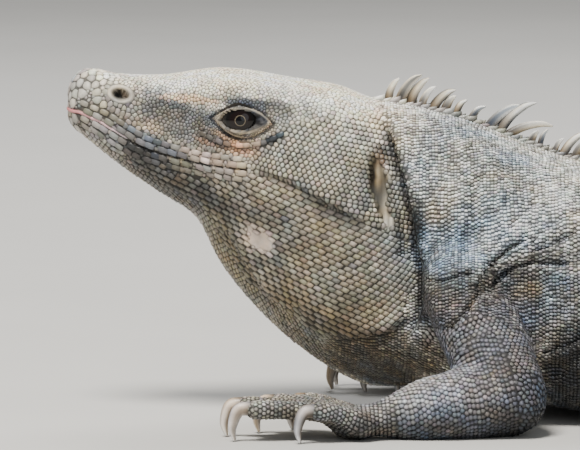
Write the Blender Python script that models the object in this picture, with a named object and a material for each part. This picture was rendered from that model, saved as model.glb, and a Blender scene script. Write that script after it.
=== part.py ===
"""A spiny-tailed iguana lying at rest with its head raised: one still, life-size body.

The frame: the snout points along -X, the tail runs off towards +X, the animal's left side is -Y
and the floor is z = 0. Sizes below are in millimetres. "s" is the distance behind the snout
tip, measured along the body's own line, which is straight as far as the shoulders.
"""

import math

import bmesh
import bpy
import numpy as np
from mathutils import Matrix, Vector

MM = 0.001

# ---------------------------------------------------------------- driving sizes
SNOUT_TO_VENT = 405.0
TAIL_LENGTH = 700.0
BODY_LENGTH = SNOUT_TO_VENT + TAIL_LENGTH
EYE_S, EYE_Z, EYE_Y, EYE_R = 48.8, 83.6, 17.0, 6.6
CUT = 0.45  # width of the thin cuts that part one sub-part from the next
SINK = 0.8  # how far the soft underside presses flat on the floor
VOXEL = 1.5
FLESH_TRIANGLES = 3400
FORE_THINNING = 0.96  # the head keeps finer facets than the rest

# The heading of the body's line, in degrees towards the animal's right, at distances s.
HEADING = [(0, 0), (150, 0), (300, 4), (405, 9), (520, 22), (700, 38), (880, 26), (1105, -12)]

# Cross-sections of the head, throat and neck: s, top, bottom, then the half width and height
# of four places down the side: brow, cheek, jaw and throat.
HEAD_SECTIONS = [
    (0.0, 91.5, 81.5, (3.0, 90.6), (4.2, 88.0), (4.2, 85.0), (3.0, 82.4)),
    (1.6, 94.6, 79.8, (4.6, 93.4), (6.6, 89.4), (6.8, 84.4), (5.0, 81.0)),
    (5.5, 96.8, 76.6, (6.2, 95.4), (8.8, 90.6), (9.4, 83.4), (7.0, 78.4)),
    (15.0, 95.2, 69.0, (7.8, 93.6), (11.0, 88.4), (12.4, 79.0), (9.0, 71.8)),
    (26.0, 95.0, 61.4, (10.4, 92.6), (13.2, 85.6), (15.2, 74.6), (10.6, 65.0)),
    (36.0, 96.3, 54.6, (14.4, 93.2), (16.4, 84.0), (18.2, 71.0), (12.4, 60.0)),
    (42.0, 97.0, 42.6, (17.0, 93.4), (19.4, 83.0), (20.4, 68.0), (11.6, 52.6)),
    (50.0, 96.4, 32.0, (18.8, 92.4), (22.0, 81.6), (23.6, 64.6), (12.6, 43.0)),
    (62.0, 94.2, 20.2, (19.8, 90.4), (27.0, 77.0), (25.6, 57.0), (15.4, 33.0)),
    (75.0, 92.2, 11.2, (19.6, 88.0), (29.0, 72.0), (26.2, 50.0), (18.0, 25.0)),
    (86.0, 88.2, 7.0, (17.6, 84.0), (27.2, 68.0), (26.4, 45.0), (19.4, 19.0)),
    (96.0, 86.6, 7.0, (17.8, 82.0), (27.0, 66.0), (28.4, 43.0), (22.0, 17.0)),
    (110.0, 83.2, 7.0, (21.0, 78.0), (32.4, 62.0), (36.0, 38.0), (27.0, 13.0)),
    (126.0, 77.0, 4.6, (24.0, 72.0), (37.4, 57.0), (42.0, 32.0), (32.0, 9.0)),
]

# The trunk and tail: s, half width, top, bottom. Their sections share one shape.
TRUNK_SECTIONS = [
    (146.0, 45.0, 70.6, 2.4),
    (180.0, 49.0, 68.6, -0.4),
    (240.0, 54.0, 68.0, -SINK),
    (300.0, 50.0, 64.0, -SINK),
    (345.0, 40.0, 58.0, -0.2),
    (380.0, 30.5, 52.0, 1.2),
    (SNOUT_TO_VENT, 25.0, 47.0, 1.0),
    (440.0, 21.0, 40.0, -0.2),
    (520.0, 16.6, 30.0, -SINK),
    (680.0, 11.6, 20.0, -SINK),
    (850.0, 7.2, 12.6, -SINK),
    (1000.0, 4.2, 7.4, -0.5),
    (1080.0, 2.4, 4.4, -0.2),
    (BODY_LENGTH, 1.1, 2.4, 0.2),
]
TRUNK_SHAPE = ((0.54, 0.935), (0.86, 0.72), (1.0, 0.34), (0.76, 0.03))

# Swells (+) and hollows (-) on each side of the head and neck: s, height, the two half lengths,
# the slope of the first of them in degrees, and how far the surface moves.
SIDE_FORMS = [
    (46.0, 92.8, 9.0, 2.6, 4, 1.2),  # brow ridge
    (31.0, 85.4, 7.5, 4.6, -24, -1.2),  # hollow before the eye
    (15.0, 90.0, 3.4, 3.0, 0, 1.0),  # swelling round the nostril
    (48.8, 83.4, 9.0, 5.4, -8, 1.6),  # eyelids
    (50.0, 75.8, 9.0, 2.0, -10, -0.6),  # groove under the eye
    (73.0, 68.6, 10.5, 8.0, -20, 2.2),  # jowl
    (87.0, 64.0, 9.6, 2.6, 98, -1.6),  # eardrum
    (70.0, 88.4, 9.0, 3.0, -8, 0.8),  # temple
    (36.0, 68.2, 16.0, 2.6, -24, -1.0),  # channel under the lips
    (74.0, 34.0, 12.0, 12.0, 0, 1.6),  # side of the throat pouch
]

# Folds of loose skin on each side: the line as (s, height), the drop on its right-hand side
# when followed from first to last, the width of the drop and the swelling of the lip above it.
FOLDS = [
    ([(86.6, 90), (89.4, 82), (92.4, 72.4), (94.8, 61.6), (97.2, 49.8), (98.8, 40), (98.2, 32), (94.6, 22.4)],
     2.6, 7.0, 0.8),  # behind the ear, down the back of the throat pouch
    ([(53, 70.4), (61, 67.6), (70, 62.8), (76, 59.6), (85, 55.4)], 1.2, 5.0, 0.3),  # under the jowl
    ([(129, 54.6), (124, 51.2), (119.6, 46.6), (116.6, 42.2), (113.6, 38)], -1.6, 4.0, 0.5),
    ([(100, 30.4), (106, 33), (111, 36), (117, 40.8), (124, 45.6), (131, 48), (139, 49), (148, 47.4)],
     2.2, 6.0, 0.8),  # hood of skin over the shoulder
]

LEFT, RIGHT = -1, 1
SIDES = {"left": LEFT, "right": RIGHT}

# Joints of the limbs as (s, distance from the midline, height) and the radii along each bone.
ARM = {
    LEFT: {"shoulder": (110, 32, 39), "elbow": (121.5, 56.5, 10.8), "wrist": (90, 62, 5.9), "turn": 3},
    RIGHT: {"shoulder": (122, 34, 37), "elbow": (149, 59, 10.8), "wrist": (119, 56, 5.9), "turn": -2},
}
UPPER_ARM_R, FOREARM_R = (12.6, 12.2, 11.4), (11.4, 10.4, 9.2, 6.2)
LEG = {
    LEFT: {"hip": (372, 24, 28), "knee": (334, 74, 22), "ankle": (371, 92, 7.4), "turn": 43},
    RIGHT: {"hip": (372, 24, 28), "knee": (340, 76, 21), "ankle": (380, 92, 7.4), "turn": 38},
}
THIGH_R, SHIN_R = (17.0, 16.0, 12.0), (12.0, 10.8, 9.4, 6.6)

# Digits from the inner one out: length, splay in degrees outwards, place across the palm.
FINGERS = [(12, -34, -7.6), (20, -20, -4.6), (28, -8, -1.4), (26, 3, 3.0), (9, 14, 7.4)]
TOES = [(14, -40, -6.4), (24, -24, -4.2), (35, -10, -1.4), (43, 2, 2.0), (24, 34, 5.8)]
PALM_LENGTH, SOLE_LENGTH = 12.0, 24.0
DIGIT_R, DIGIT_HEIGHTS = (3.5, 2.9, 3.0, 3.3), (5.4, 7.8, 8.6, 8.8)
CLAW_LENGTH, CLAW_R = 12.6, (1.9, 1.75, 1.2, 0.4)

# The crest's first spines: s, length, lean back from upright in degrees, and width at the base.
NECK_SPINES = [
    (89.7, 7.1, 25, 2.5), (92.9, 10.1, 38, 3.2), (95.9, 9.2, 35, 2.9), (99.0, 6.9, 35, 2.3),
    (102.2, 8.5, 49, 3.0), (105.1, 5.6, 39, 2.8), (108.1, 5.4, 42, 2.3), (112.2, 5.9, 54, 2.2),
    (118.0, 11.1, 56, 3.0), (120.9, 13.5, 51, 3.0), (123.4, 13.0, 78, 2.6), (129.4, 4.2, 37, 2.3),
    (132.0, 5.4, 26, 1.8), (136.0, 4.7, 37, 1.7), (138.6, 9.4, 46, 2.6), (141.8, 8.2, 42, 2.4),
]
# Further back: s, length, lean and width, at a steady pitch.
CREST = [
    (146, 8.4, 44, 2.4), (200, 6.8, 50, 2.1), (260, 5.4, 52, 1.8), (330, 3.8, 55, 1.6), (386, 2.4, 58, 1.5),
]
CREST_PITCH = 9.6
SPINE_TIP_R, SPINE_DEPTH = 0.42, 1.45  # radius at the tip; width along the body over thickness
# How a spine bends over: shares of its length, their lean beyond the spine's own, and the taper.
SHORT_SPINE = 6.5
SHORT_CURVE = ((0.55, -8, 0.8), (0.45, 12, 0.0))
LONG_CURVE = ((0.38, -14, 0.88), (0.36, 3, 0.66), (0.26, 22, 0.0))

# Where each limb is parted from the trunk: s, distance from the midline, height and the way the
# cut faces, in degrees back from straight out.
LIMB_ROOT = {
    ("arm", LEFT): (116, 45.0, 26, -10),
    ("arm", RIGHT): (132, 46.0, 28, -3),
    ("leg", LEFT): (360, 41.0, 26, 14),
    ("leg", RIGHT): (362, 40.0, 27, 14),
}

# The seams between sub-parts of the head and neck, as (s, height), and along the tail.
EAR_SEAM = [
    (86.4, 96), (87.2, 86), (90.0, 78), (92.8, 70), (95.2, 59), (97.6, 47), (99.2, 37), (98.6, 28), (94, 16),
    (88, -4),
]
MOUTH_SEAM = [
    (-6, 88.6), (0, 86.0), (6, 83.6), (14, 79.4), (24, 74.6), (40, 71.0), (54, 69.6), (66, 65.2), (84, 55.6),
    (97.1, 49.4),
]
THROAT_SEAM = [(24, 46), (34, 54.6), (50, 55.2), (66, 49.8), (84, 42.6), (99.1, 37.4)]
NECK_SEAM = [(115.6, 82.6), (114.6, 74), (110.6, 62), (105.4, 50), (101.4, 42), (99.0, 36.8)]
TAIL_SEAMS = [SNOUT_TO_VENT + 3, 640.0, 870.0]


# ---------------------------------------------------------------- curves and tubes
def unit(v):
    return v / np.linalg.norm(v)


def eased(table, at):
    """A smooth curve through (x, y) rows that never overshoots them, read at the places at."""
    table = np.array(table, float)
    x, y = table[:, 0], table[:, 1:]
    step = np.diff(x)[:, None]
    rise = np.diff(y, axis=0) / step
    slope = np.zeros_like(y)
    same = rise[:-1] * rise[1:] > 0
    both = np.where(same, rise[:-1] + rise[1:], 1.0)
    slope[1:-1] = np.where(same, 2 * rise[:-1] * rise[1:] / both, 0)
    slope[0], slope[-1] = rise[0], rise[-1]
    at = np.clip(np.atleast_1d(np.asarray(at, float)), x[0], x[-1])
    i = np.clip(np.searchsorted(x, at, side="right") - 1, 0, len(x) - 2)
    h = step[i]
    t = (at - x[i])[:, None] / h
    t2, t3 = t * t, t * t * t
    return (
        (2 * t3 - 3 * t2 + 1) * y[i]
        + (t3 - 2 * t2 + t) * h * slope[i]
        + (3 * t2 - 2 * t3) * y[i + 1]
        + (t3 - t2) * h * slope[i + 1]
    )


PATH_S = np.arange(0.0, BODY_LENGTH + 1.0)
PATH_TURN = np.radians(eased(HEADING, PATH_S)[:, 0])
PATH_X = np.concatenate([[0.0], np.cumsum(np.cos(PATH_TURN[:-1]))])
PATH_Y = np.concatenate([[0.0], np.cumsum(np.sin(PATH_TURN[:-1]))])


def place(s, aside, height):
    """World point, in millimetres, of a place s along the body's line and aside to its right."""
    s = np.asarray(s, float)
    turn = np.interp(s, PATH_S, PATH_TURN)
    x = np.interp(s, PATH_S, PATH_X) + np.minimum(s, 0.0)
    y = np.interp(s, PATH_S, PATH_Y)
    shape = np.broadcast(x, aside, height).shape
    return np.stack(
        [
            np.broadcast_to(x - aside * np.sin(turn), shape),
            np.broadcast_to(y + aside * np.cos(turn), shape),
            np.broadcast_to(height, shape),
        ],
        axis=-1,
    )


def spans(a, b, c, d, per_span):
    """Catmull-Rom spans from the points b to the points c, given those before and after them."""
    t = (np.arange(per_span) / per_span)[None, :, None]
    a, b, c, d = (q[:, None, :] for q in (a, b, c, d))
    square, cube = 2 * a - 5 * b + 4 * c - d, 3 * b - a - 3 * c + d
    return (0.5 * (2 * b + (c - a) * t + square * t**2 + cube * t**3)).reshape(-1, b.shape[2])


def closed_curve(points, per_span):
    """A smooth closed curve through points."""
    return spans(*(np.roll(points, k, axis=0) for k in (1, 0, -1, -2)), per_span)


def open_curve(points, per_span):
    """A smooth curve from the first point to the last."""
    p = np.vstack([2 * points[0] - points[1], points, 2 * points[-1] - points[-2]])
    return np.vstack([spans(p[:-3], p[1:-2], p[2:-1], p[3:], per_span), points[-1:]])


def section_table():
    """Every section as s followed by the heights and half widths of its ten control points."""
    rows = [[s, top, bottom, *(v for pair in side for v in pair)] for s, top, bottom, *side in HEAD_SECTIONS]
    for s, half, top, bottom in TRUNK_SECTIONS:
        side = [v for w, z in TRUNK_SHAPE for v in (w * half, bottom + z * (top - bottom))]
        rows.append([s, top, bottom, *side])
    return rows


def body_tube(step_head=1.5, step_trunk=4.0, per_span=5):
    """The head, throat, neck, trunk and tail as one closed tube of rings: (points, faces)."""
    head = np.arange(0, 150, step_head)
    trunk = np.arange(150, BODY_LENGTH, step_trunk)
    stations = np.concatenate([head, trunk, [BODY_LENGTH]])
    rings = []
    for s, row in zip(stations, eased(section_table(), stations), strict=True):
        top, bottom = row[:2]
        side = row[2:].reshape(4, 2)
        left = side[::-1] * (-1, 1)
        ring = closed_curve(np.vstack([[0, top], side, [0, bottom], left]), per_span)
        rings.append(place(s, ring[:, 0], ring[:, 1]))
    return closed_tube(rings)


def closed_tube(rings):
    """Points and faces of a tube through rings of equal length, capped with a fan at each end."""
    rings = np.array(rings)
    count, around = rings.shape[:2]
    points = np.vstack([rings.reshape(-1, 3), rings[0].mean(0), rings[-1].mean(0)])
    faces = []
    for i in range(count - 1):
        for j in range(around):
            k = (j + 1) % around
            faces.append((i * around + j, i * around + k, (i + 1) * around + k, (i + 1) * around + j))
    first, last = count * around, count * around + 1
    end = (count - 1) * around
    for j in range(around):
        k = (j + 1) % around
        faces.append((first, k, j))
        faces.append((last, end + j, end + k))
    return points, faces


def limb_tube(joints, radii, flat=1.0, around=14, per_span=8, round_ends=True):
    """A tube through joints with a radius at each; flat is its height over its width."""
    line = open_curve(np.array([[*p, r] for p, r in zip(joints, radii, strict=True)], float), per_span)
    centre, radius = line[:, :3], line[:, 3]
    along = np.gradient(centre, axis=0)
    along /= np.linalg.norm(along, axis=1, keepdims=True)
    start, stop = [], []
    for bend in np.radians([75, 50, 25] if round_ends else []):
        reach, shrink = math.sin(bend), math.cos(bend)
        start.append((centre[0] - along[0] * radius[0] * reach, radius[0] * shrink, along[0]))
        stop.insert(0, (centre[-1] + along[-1] * radius[-1] * reach, radius[-1] * shrink, along[-1]))
    turn = np.arange(around) * 2 * math.pi / around
    rings = []
    side = np.cross(along[0], (0, 0, 1))
    for c, r, t in [*start, *zip(centre, radius, along, strict=True), *stop]:
        side = unit(side - t * (side @ t))
        up = np.cross(side, t)
        rings.append(c + r * (np.outer(np.cos(turn), side) + flat * np.outer(np.sin(turn), up)))
    return closed_tube(rings)


# ---------------------------------------------------------------- limbs, claws and crest
def between(a, b, share):
    return np.array(a) + (np.array(b) - np.array(a)) * share


def side_point(side, joint):
    return place(joint[0], side * joint[1], joint[2])


def digit_layout(side, root, turn, table, palm):
    """For each digit the points from its knuckle to the base of its claw, and the way it points.
    turn is how far the limb's end points outwards from straight ahead, in degrees."""
    layout = []
    for length, splay, across in table:
        palm_turn = math.radians(turn)
        ahead = np.array([-math.cos(palm_turn), side * math.sin(palm_turn), 0])
        outward = np.array([math.sin(palm_turn), side * math.cos(palm_turn), 0])
        knuckle = np.array([*root[:2], 0]) + ahead * palm + outward * across
        way = math.radians(turn + splay)
        forward = np.array([-math.cos(way), side * math.sin(way), 0])
        reach = zip((-3.0 / length, 0.38, 0.72, 1.0), DIGIT_HEIGHTS, strict=True)
        points = [knuckle + forward * share * length + (0, 0, height) for share, height in reach]
        layout.append((points, forward))
    return layout


def extremity(side, root, turn, table, palm):
    """Tubes of a hand or foot: the palm and the digits."""
    layout = digit_layout(side, root, turn, table, palm)
    knuckles = np.array([points[0] for points, _ in layout])
    middle = knuckles.mean(0) - (0, 0, 0.8)
    tubes = [
        limb_tube([root, between(root, middle, 0.5), middle], (6.0, 7.0, 8.4), flat=0.62),
        limb_tube([knuckles[0] - (0, 0, 0.8), middle, knuckles[-1] - (0, 0, 0.8)], (3.8, 4.6, 3.8)),
    ]
    return tubes + [limb_tube(points, DIGIT_R, around=12, per_span=4) for points, _ in layout]


def claw_curves(side, root, turn, table, palm):
    """The centre lines of the claws: out of each digit's end, over and down to the floor."""
    curves = []
    for points, forward in digit_layout(side, root, turn, table, palm):
        tip = points[-1]
        ground = np.array([*tip[:2], 0.0])
        curves.append([
            tip + forward * CLAW_LENGTH * 0.05 + (0, 0, 0.3),
            tip + forward * CLAW_LENGTH * 0.33 - (0, 0, 0.3),
            ground + forward * CLAW_LENGTH * 0.46 + (0, 0, 0.46 * tip[2]),
            ground + forward * CLAW_LENGTH * 0.41 + (0, 0, CLAW_R[-1] + 0.05),
        ])
    return curves


def limb_ends():
    """(side, end point, turn, digits, palm length) of both hands and both feet."""
    for side in (LEFT, RIGHT):
        yield side, side_point(side, ARM[side]["wrist"]), ARM[side]["turn"], FINGERS, PALM_LENGTH
        yield side, side_point(side, LEG[side]["ankle"]), LEG[side]["turn"], TOES, SOLE_LENGTH


def chain(side, limb):
    """The three joints of a limb, from the body out."""
    return [side_point(side, v) for k, v in limb[side].items() if k != "turn"]


def limb_tubes():
    tubes = []
    for side in (LEFT, RIGHT):
        for limb, upper_r, lower_r in ((ARM, UPPER_ARM_R, FOREARM_R), (LEG, THIGH_R, SHIN_R)):
            root, middle, end = chain(side, limb)
            tubes.append(limb_tube([root, between(root, middle, 0.5), middle], upper_r))
            lower = [between(middle, end, share) for share in (0, 0.38, 0.72, 1)]
            tubes.append(limb_tube(lower, lower_r))
    for end in limb_ends():
        tubes += extremity(*end)
    return tubes


def crest_spines():
    """(s, length, lean, width) of every spine of the crest, from the nape to the hips."""
    spines = list(NECK_SPINES)
    s, turn = CREST[0][0] + 1.0, 0
    while s < CREST[-1][0]:
        length, lean, width = eased(CREST, s)[0]
        length, lean = length * (0.8 + 0.2 * math.sin(2.4 * turn)), lean + 6 * math.sin(1.3 * turn)
        spines.append((s, length, lean, width))
        s, turn = s + CREST_PITCH * (0.95 + 0.08 * math.sin(1.7 * turn)), turn + 1
    return spines


def top_height(s):
    return eased([(row[0], row[1]) for row in section_table()], s)[0, 0]


def spine_curve(s, length, lean, width):
    """A spine's centre line, leaning back and curving over, and its radii."""
    thick = 0.5 * width / SPINE_DEPTH
    line, radii = [place(s - 0.5, 0, top_height(s) - 1.8)], [thick]
    ahead, up = s, top_height(s)
    shares = SHORT_CURVE
    if length > SHORT_SPINE:
        shares = LONG_CURVE
        line.append(place(ahead, 0, up))
        radii.append(thick)
    for share, bend, taper in shares:
        angle = math.radians(lean + bend)
        ahead, up = ahead + share * length * math.sin(angle), up + share * length * math.cos(angle)
        line.append(place(ahead, 0, up))
        radii.append(max(taper * thick, SPINE_TIP_R))
    return line, radii


# ---------------------------------------------------------------- meshes
def mesh_of(tubes):
    """One mesh, in metres, of (points, faces) pairs in millimetres."""
    points, faces, start = [], [], 0
    for p, f in tubes:
        points.append(p)
        faces += [tuple(v + start for v in face) for face in f]
        start += len(p)
    mesh = bpy.data.meshes.new("tubes")
    mesh.from_pydata([tuple(v) for v in np.vstack(points) * MM], [], faces)
    work = bmesh.new()
    work.from_mesh(mesh)
    bmesh.ops.recalc_face_normals(work, faces=work.faces)
    work.to_mesh(mesh)
    work.free()
    return mesh


def object_of(name, mesh):
    made = bpy.data.objects.new(name, mesh)
    bpy.context.scene.collection.objects.link(made)
    return made


def settle(made):
    """Applies an object's modifiers."""
    bpy.context.view_layer.update()
    graph = bpy.context.evaluated_depsgraph_get()
    mesh = bpy.data.meshes.new_from_object(made.evaluated_get(graph))
    made.modifiers.clear()
    made.data = mesh
    return made


def coordinates(mesh):
    flat = np.empty(len(mesh.vertices) * 3)
    mesh.vertices.foreach_get("co", flat)
    return flat.reshape(-1, 3) / MM


def set_coordinates(mesh, points):
    mesh.vertices.foreach_set("co", (points * MM).ravel())
    mesh.update()


def normals(mesh):
    flat = np.empty(len(mesh.vertices) * 3)
    mesh.vertices.foreach_get("normal", flat)
    return flat.reshape(-1, 3)


def relax(mesh, rounds, weight=1.0):
    """Moves each vertex part of the way to its neighbours' mean, in several rounds."""
    edges = np.empty(len(mesh.edges) * 2, np.int64)
    mesh.edges.foreach_get("vertices", edges)
    a, b = edges.reshape(-1, 2).T
    points = coordinates(mesh)
    count = np.bincount(a, minlength=len(points)) + np.bincount(b, minlength=len(points))
    weight = np.broadcast_to(weight, len(points))[:, None] * 0.5
    for _ in range(rounds):
        total = np.stack(
            [
                np.bincount(a, points[b, k], len(points)) + np.bincount(b, points[a, k], len(points))
                for k in range(3)
            ],
            axis=1,
        )
        points = points + weight * (total / np.maximum(count, 1)[:, None] - points)
    set_coordinates(mesh, points)


def line_distance(line, x, z):
    """Distance of the points (x, z) from a line, signed positive on its right, and how far
    along the line the nearest place is, from 0 to 1."""
    line = open_curve(np.array(line, float), 6)
    best = np.full(len(x), 1e9)
    sign, share = np.ones(len(x)), np.zeros(len(x))
    for i, (p, q) in enumerate(zip(line[:-1], line[1:], strict=True)):
        d = q - p
        t = np.clip(((x - p[0]) * d[0] + (z - p[1]) * d[1]) / (d @ d), 0, 1)
        off_x, off_z = x - p[0] - t * d[0], z - p[1] - t * d[1]
        distance = np.hypot(off_x, off_z)
        near = distance < best
        best = np.where(near, distance, best)
        sign = np.where(near, np.sign(d[1] * off_x - d[0] * off_z), sign)
        share = np.where(near, (i + t) / (len(line) - 1), share)
    return best * np.where(sign == 0, 1, sign), share


def shape_sides(mesh):
    """Raises the swells, sinks the hollows and lays the folds on both sides of the fore body."""
    points, facing = coordinates(mesh), normals(mesh)
    x, z = points[:, 0], points[:, 2]
    sideways = np.clip(np.abs(facing[:, 1]) * 1.5, 0, 1) * (np.abs(points[:, 1]) > 3)
    on_trunk = (np.abs(points[:, 1]) < 47) & (x < 160)
    move = np.zeros(len(points))
    for s, height, long, wide, slope, amount in SIDE_FORMS:
        c, d = math.cos(math.radians(slope)), math.sin(math.radians(slope))
        u, v = ((x - s) * c + (z - height) * d) / long, ((z - height) * c - (x - s) * d) / wide
        move += amount * np.exp(-u * u - v * v)
    for line, drop, width, lip in FOLDS:
        away, share = line_distance(line, x, z)
        away = away * np.sign(drop)
        fade = np.clip(np.minimum(share, 1 - share) * 6 + 0.25, 0, 1)
        under = -abs(drop) * np.exp(-np.maximum(away, 0) / width) * (away > 0)
        over = lip * np.exp(-(((away + width * 0.6) / width) ** 2))
        move += fade * (under + over)
    points += facing * (move * sideways * on_trunk)[:, None]
    set_coordinates(mesh, points)


# ---------------------------------------------------------------- solids
def boolean(target, other, operation):
    cut = target.modifiers.new(operation.lower(), "BOOLEAN")
    cut.operation = operation
    cut.solver = "EXACT"
    cut.use_self = operation == "UNION"
    cut.object = other
    settle(target)
    bpy.data.objects.remove(other)
    return target


def flesh():
    """The whole animal as one closed skin, without claws or spines."""
    made = object_of("flesh", mesh_of([body_tube(), *limb_tubes()]))
    fuse = made.modifiers.new("fuse", "REMESH")
    fuse.mode = "VOXEL"
    fuse.voxel_size = VOXEL * MM
    settle(made)
    relax(made.data, 3)
    shape_sides(made.data)
    relax(made.data, 1)
    plain = made.vertex_groups.new(name="plain")
    points = coordinates(made.data)
    fore = (points[:, 0] < 118) & (np.abs(points[:, 1]) < 48)
    plain.add(np.flatnonzero(~fore).tolist(), 1.0, "REPLACE")
    plain.add(np.flatnonzero(fore).tolist(), FORE_THINNING, "REPLACE")
    thin = made.modifiers.new("thin", "DECIMATE")
    made.data.calc_loop_triangles()
    thin.ratio = FLESH_TRIANGLES / len(made.data.loop_triangles)
    thin.vertex_group, thin.vertex_group_factor = plain.name, 1.0
    return settle(made)


def spines():
    tubes = []
    for spine in crest_spines():
        line, radii = spine_curve(*spine)
        around = 6 if spine in NECK_SPINES else 4
        tubes.append(limb_tube(line, radii, flat=SPINE_DEPTH, around=around, per_span=1, round_ends=False))
    return object_of("spines", mesh_of(tubes))


def claws():
    tubes = []
    for end in limb_ends():
        for line in claw_curves(*end):
            tubes.append(limb_tube(line, CLAW_R, flat=1.25, around=5, per_span=1, round_ends=False))
    return object_of("claws", mesh_of(tubes))


def blade(line, half_width):
    """A thin cutter that stands across the body along a line of (s, height)."""
    line = np.array(line, float)
    along = np.gradient(line, axis=0)
    along /= np.linalg.norm(along, axis=1, keepdims=True)
    off = np.stack([-along[:, 1], along[:, 0]], axis=1) * CUT / 2
    outline = np.vstack([line + off, (line - off)[::-1]])
    count = len(outline)
    points = np.array([(x, y, z) for y in (-half_width, half_width) for x, z in outline])
    faces = [(i, (i + 1) % count, count + (i + 1) % count, count + i) for i in range(count)]
    half = count // 2
    for i in range(half - 1):
        j = count - 1 - i
        faces.append((i, i + 1, j - 1, j))
        faces.append((count + i, count + i + 1, count + j - 1, count + j))
    return object_of("blade", mesh_of([(points, faces)]))


def floor_block(depth=10.0, reach=1400.0):
    """Everything below the floor."""
    across = (-reach, reach)
    corners = np.array([(x, y, z) for z in (-depth, 0) for y in across for x in across], float)
    faces = [(0, 2, 3, 1), (4, 5, 7, 6), (0, 1, 5, 4), (2, 6, 7, 3), (0, 4, 6, 2), (1, 3, 7, 5)]
    return object_of("floor_block", mesh_of([(corners, faces)]))


def severing_disc(body, centre, across):
    """A thin round cutter, square to across, just wide enough to sever what surrounds centre."""
    across = Vector(across).normalized()
    work = bmesh.new()
    work.from_mesh(body.data)
    everything = [*work.verts, *work.edges, *work.faces]
    middle = Vector(centre) * MM
    cut = bmesh.ops.bisect_plane(work, geom=everything, plane_co=middle, plane_no=across)["geom_cut"]
    left = {v for v in cut if isinstance(v, bmesh.types.BMVert)}
    rings = []
    while left:
        ring = edge = [left.pop()]
        while edge:
            near = {e.other_vert(v) for v in edge for e in v.link_edges} & left
            left -= near
            edge = list(near)
            ring = ring + edge
        rings.append(np.array([v.co for v in ring]) / MM)
    work.free()
    ring = min(rings, key=lambda r: np.linalg.norm((r.max(0) + r.min(0)) / 2 - centre))
    middle = (ring.max(0) + ring.min(0)) / 2
    radius = np.linalg.norm(ring - middle, axis=1).max() + 1.5
    work = bmesh.new()
    turn = across.to_track_quat("Z", "Y").to_matrix().to_4x4()
    bmesh.ops.create_cone(
        work, cap_ends=True, segments=24, radius1=radius * MM, radius2=radius * MM, depth=CUT * MM,
        matrix=Matrix.Translation(Vector(middle) * MM) @ turn,
    )
    mesh = bpy.data.meshes.new("disc")
    work.to_mesh(mesh)
    work.free()
    return object_of("disc", mesh)


def cutters(body):
    """Every thin cut between one sub-part and the next."""
    yield blade(EAR_SEAM, 46)
    yield blade(MOUTH_SEAM, 40)
    yield blade(THROAT_SEAM, 40)
    yield blade(NECK_SEAM, 46)
    for s in TAIL_SEAMS:
        yield severing_disc(body, place(s, 0, 16), place(s + 1, 0, 0) - place(s, 0, 0))
    for side in (LEFT, RIGHT):
        for kind, limb, table, palm in (("arm", ARM, FINGERS, PALM_LENGTH), ("leg", LEG, TOES, SOLE_LENGTH)):
            s, out, height, turn = LIMB_ROOT[kind, side]
            turn = math.radians(turn)
            facing = place(s + math.sin(turn), side * math.cos(turn), 0) - place(s, 0, 0)
            yield severing_disc(body, place(s, side * out, height), facing)
            root, middle, end = chain(side, limb)
            upper, lower = unit(middle - root), unit(end - middle)
            yield severing_disc(body, middle, upper + lower)
            forward = digit_layout(side, end, limb[side]["turn"], table, palm)[2][1]
            yield severing_disc(body, end, lower + forward)


def pieces_of(made):
    """The separate bodies of a mesh, each as (mesh, centre in millimetres)."""
    work = bmesh.new()
    work.from_mesh(made.data)
    left = set(work.faces)
    groups = []
    while left:
        seed = left.pop()
        group, edge = {seed}, [seed]
        while edge:
            for e in edge.pop().edges:
                for face in e.link_faces:
                    if face in left:
                        left.discard(face)
                        group.add(face)
                        edge.append(face)
        groups.append(group)
    found = []
    for group in groups:
        part = work.copy()
        part.faces.ensure_lookup_table()
        keep = {face.index for face in group}
        bmesh.ops.delete(part, geom=[f for f in part.faces if f.index not in keep], context="FACES")
        mesh = bpy.data.meshes.new("piece")
        part.to_mesh(mesh)
        part.free()
        points = coordinates(mesh)
        found.append((mesh, (points.max(0) + points.min(0)) / 2))
    work.free()
    return found


def landmarks():
    """The middle of each sub-part, by which a cut body is named."""
    marks = {
        "head": place(46, 0, 76),
        "lower_jaw": place(50, 0, 58),
        "throat_pouch": place(66, 0, 30),
        "neck": place(101, 0, 45),
        "trunk": place(255, 0, 34),
        "tail_base": place(522, 0, 22),
        "tail_middle": place(755, 0, 10),
        "tail_tip": place(985, 0, 4),
    }
    for name, side in SIDES.items():
        for limb, upper, lower in ((ARM, "upper_arm", "forearm"), (LEG, "thigh", "shin")):
            root, middle, end = chain(side, limb)
            marks[f"{upper}_{name}"] = between(root, middle, 0.8)
            marks[f"{lower}_{name}"] = between(middle, end, 0.5)
    for label, end in zip(("hand_left", "foot_left", "hand_right", "foot_right"), limb_ends(), strict=True):
        tips = [points[-1] for points, _ in digit_layout(*end)]
        marks[label] = (end[1] + np.mean(tips, axis=0)) / 2
    return marks


SKIN_COLOURS = {
    "head": (0.42, 0.37, 0.28), "lower_jaw": (0.30, 0.27, 0.21), "throat_pouch": (0.25, 0.21, 0.14),
    "neck": (0.27, 0.28, 0.28), "trunk": (0.26, 0.25, 0.22), "tail": (0.20, 0.18, 0.15),
    "limb": (0.10, 0.10, 0.10),
}


def material(name, colour, roughness, metallic=0.0):
    made = bpy.data.materials.new(name)
    made.use_nodes = True
    shader = made.node_tree.nodes["Principled BSDF"]
    shader.inputs["Base Color"].default_value = (*colour, 1)
    shader.inputs["Roughness"].default_value = roughness
    shader.inputs["Metallic"].default_value = metallic
    return made


def finish_node(made, name, colour, roughness):
    made.name = name
    made.data.name = name
    made.data.materials.clear()
    made.data.materials.append(material(name, colour, roughness))
    made.data.shade_smooth()
    made.data.set_sharp_from_angle(angle=math.radians(50))
    return made


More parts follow.
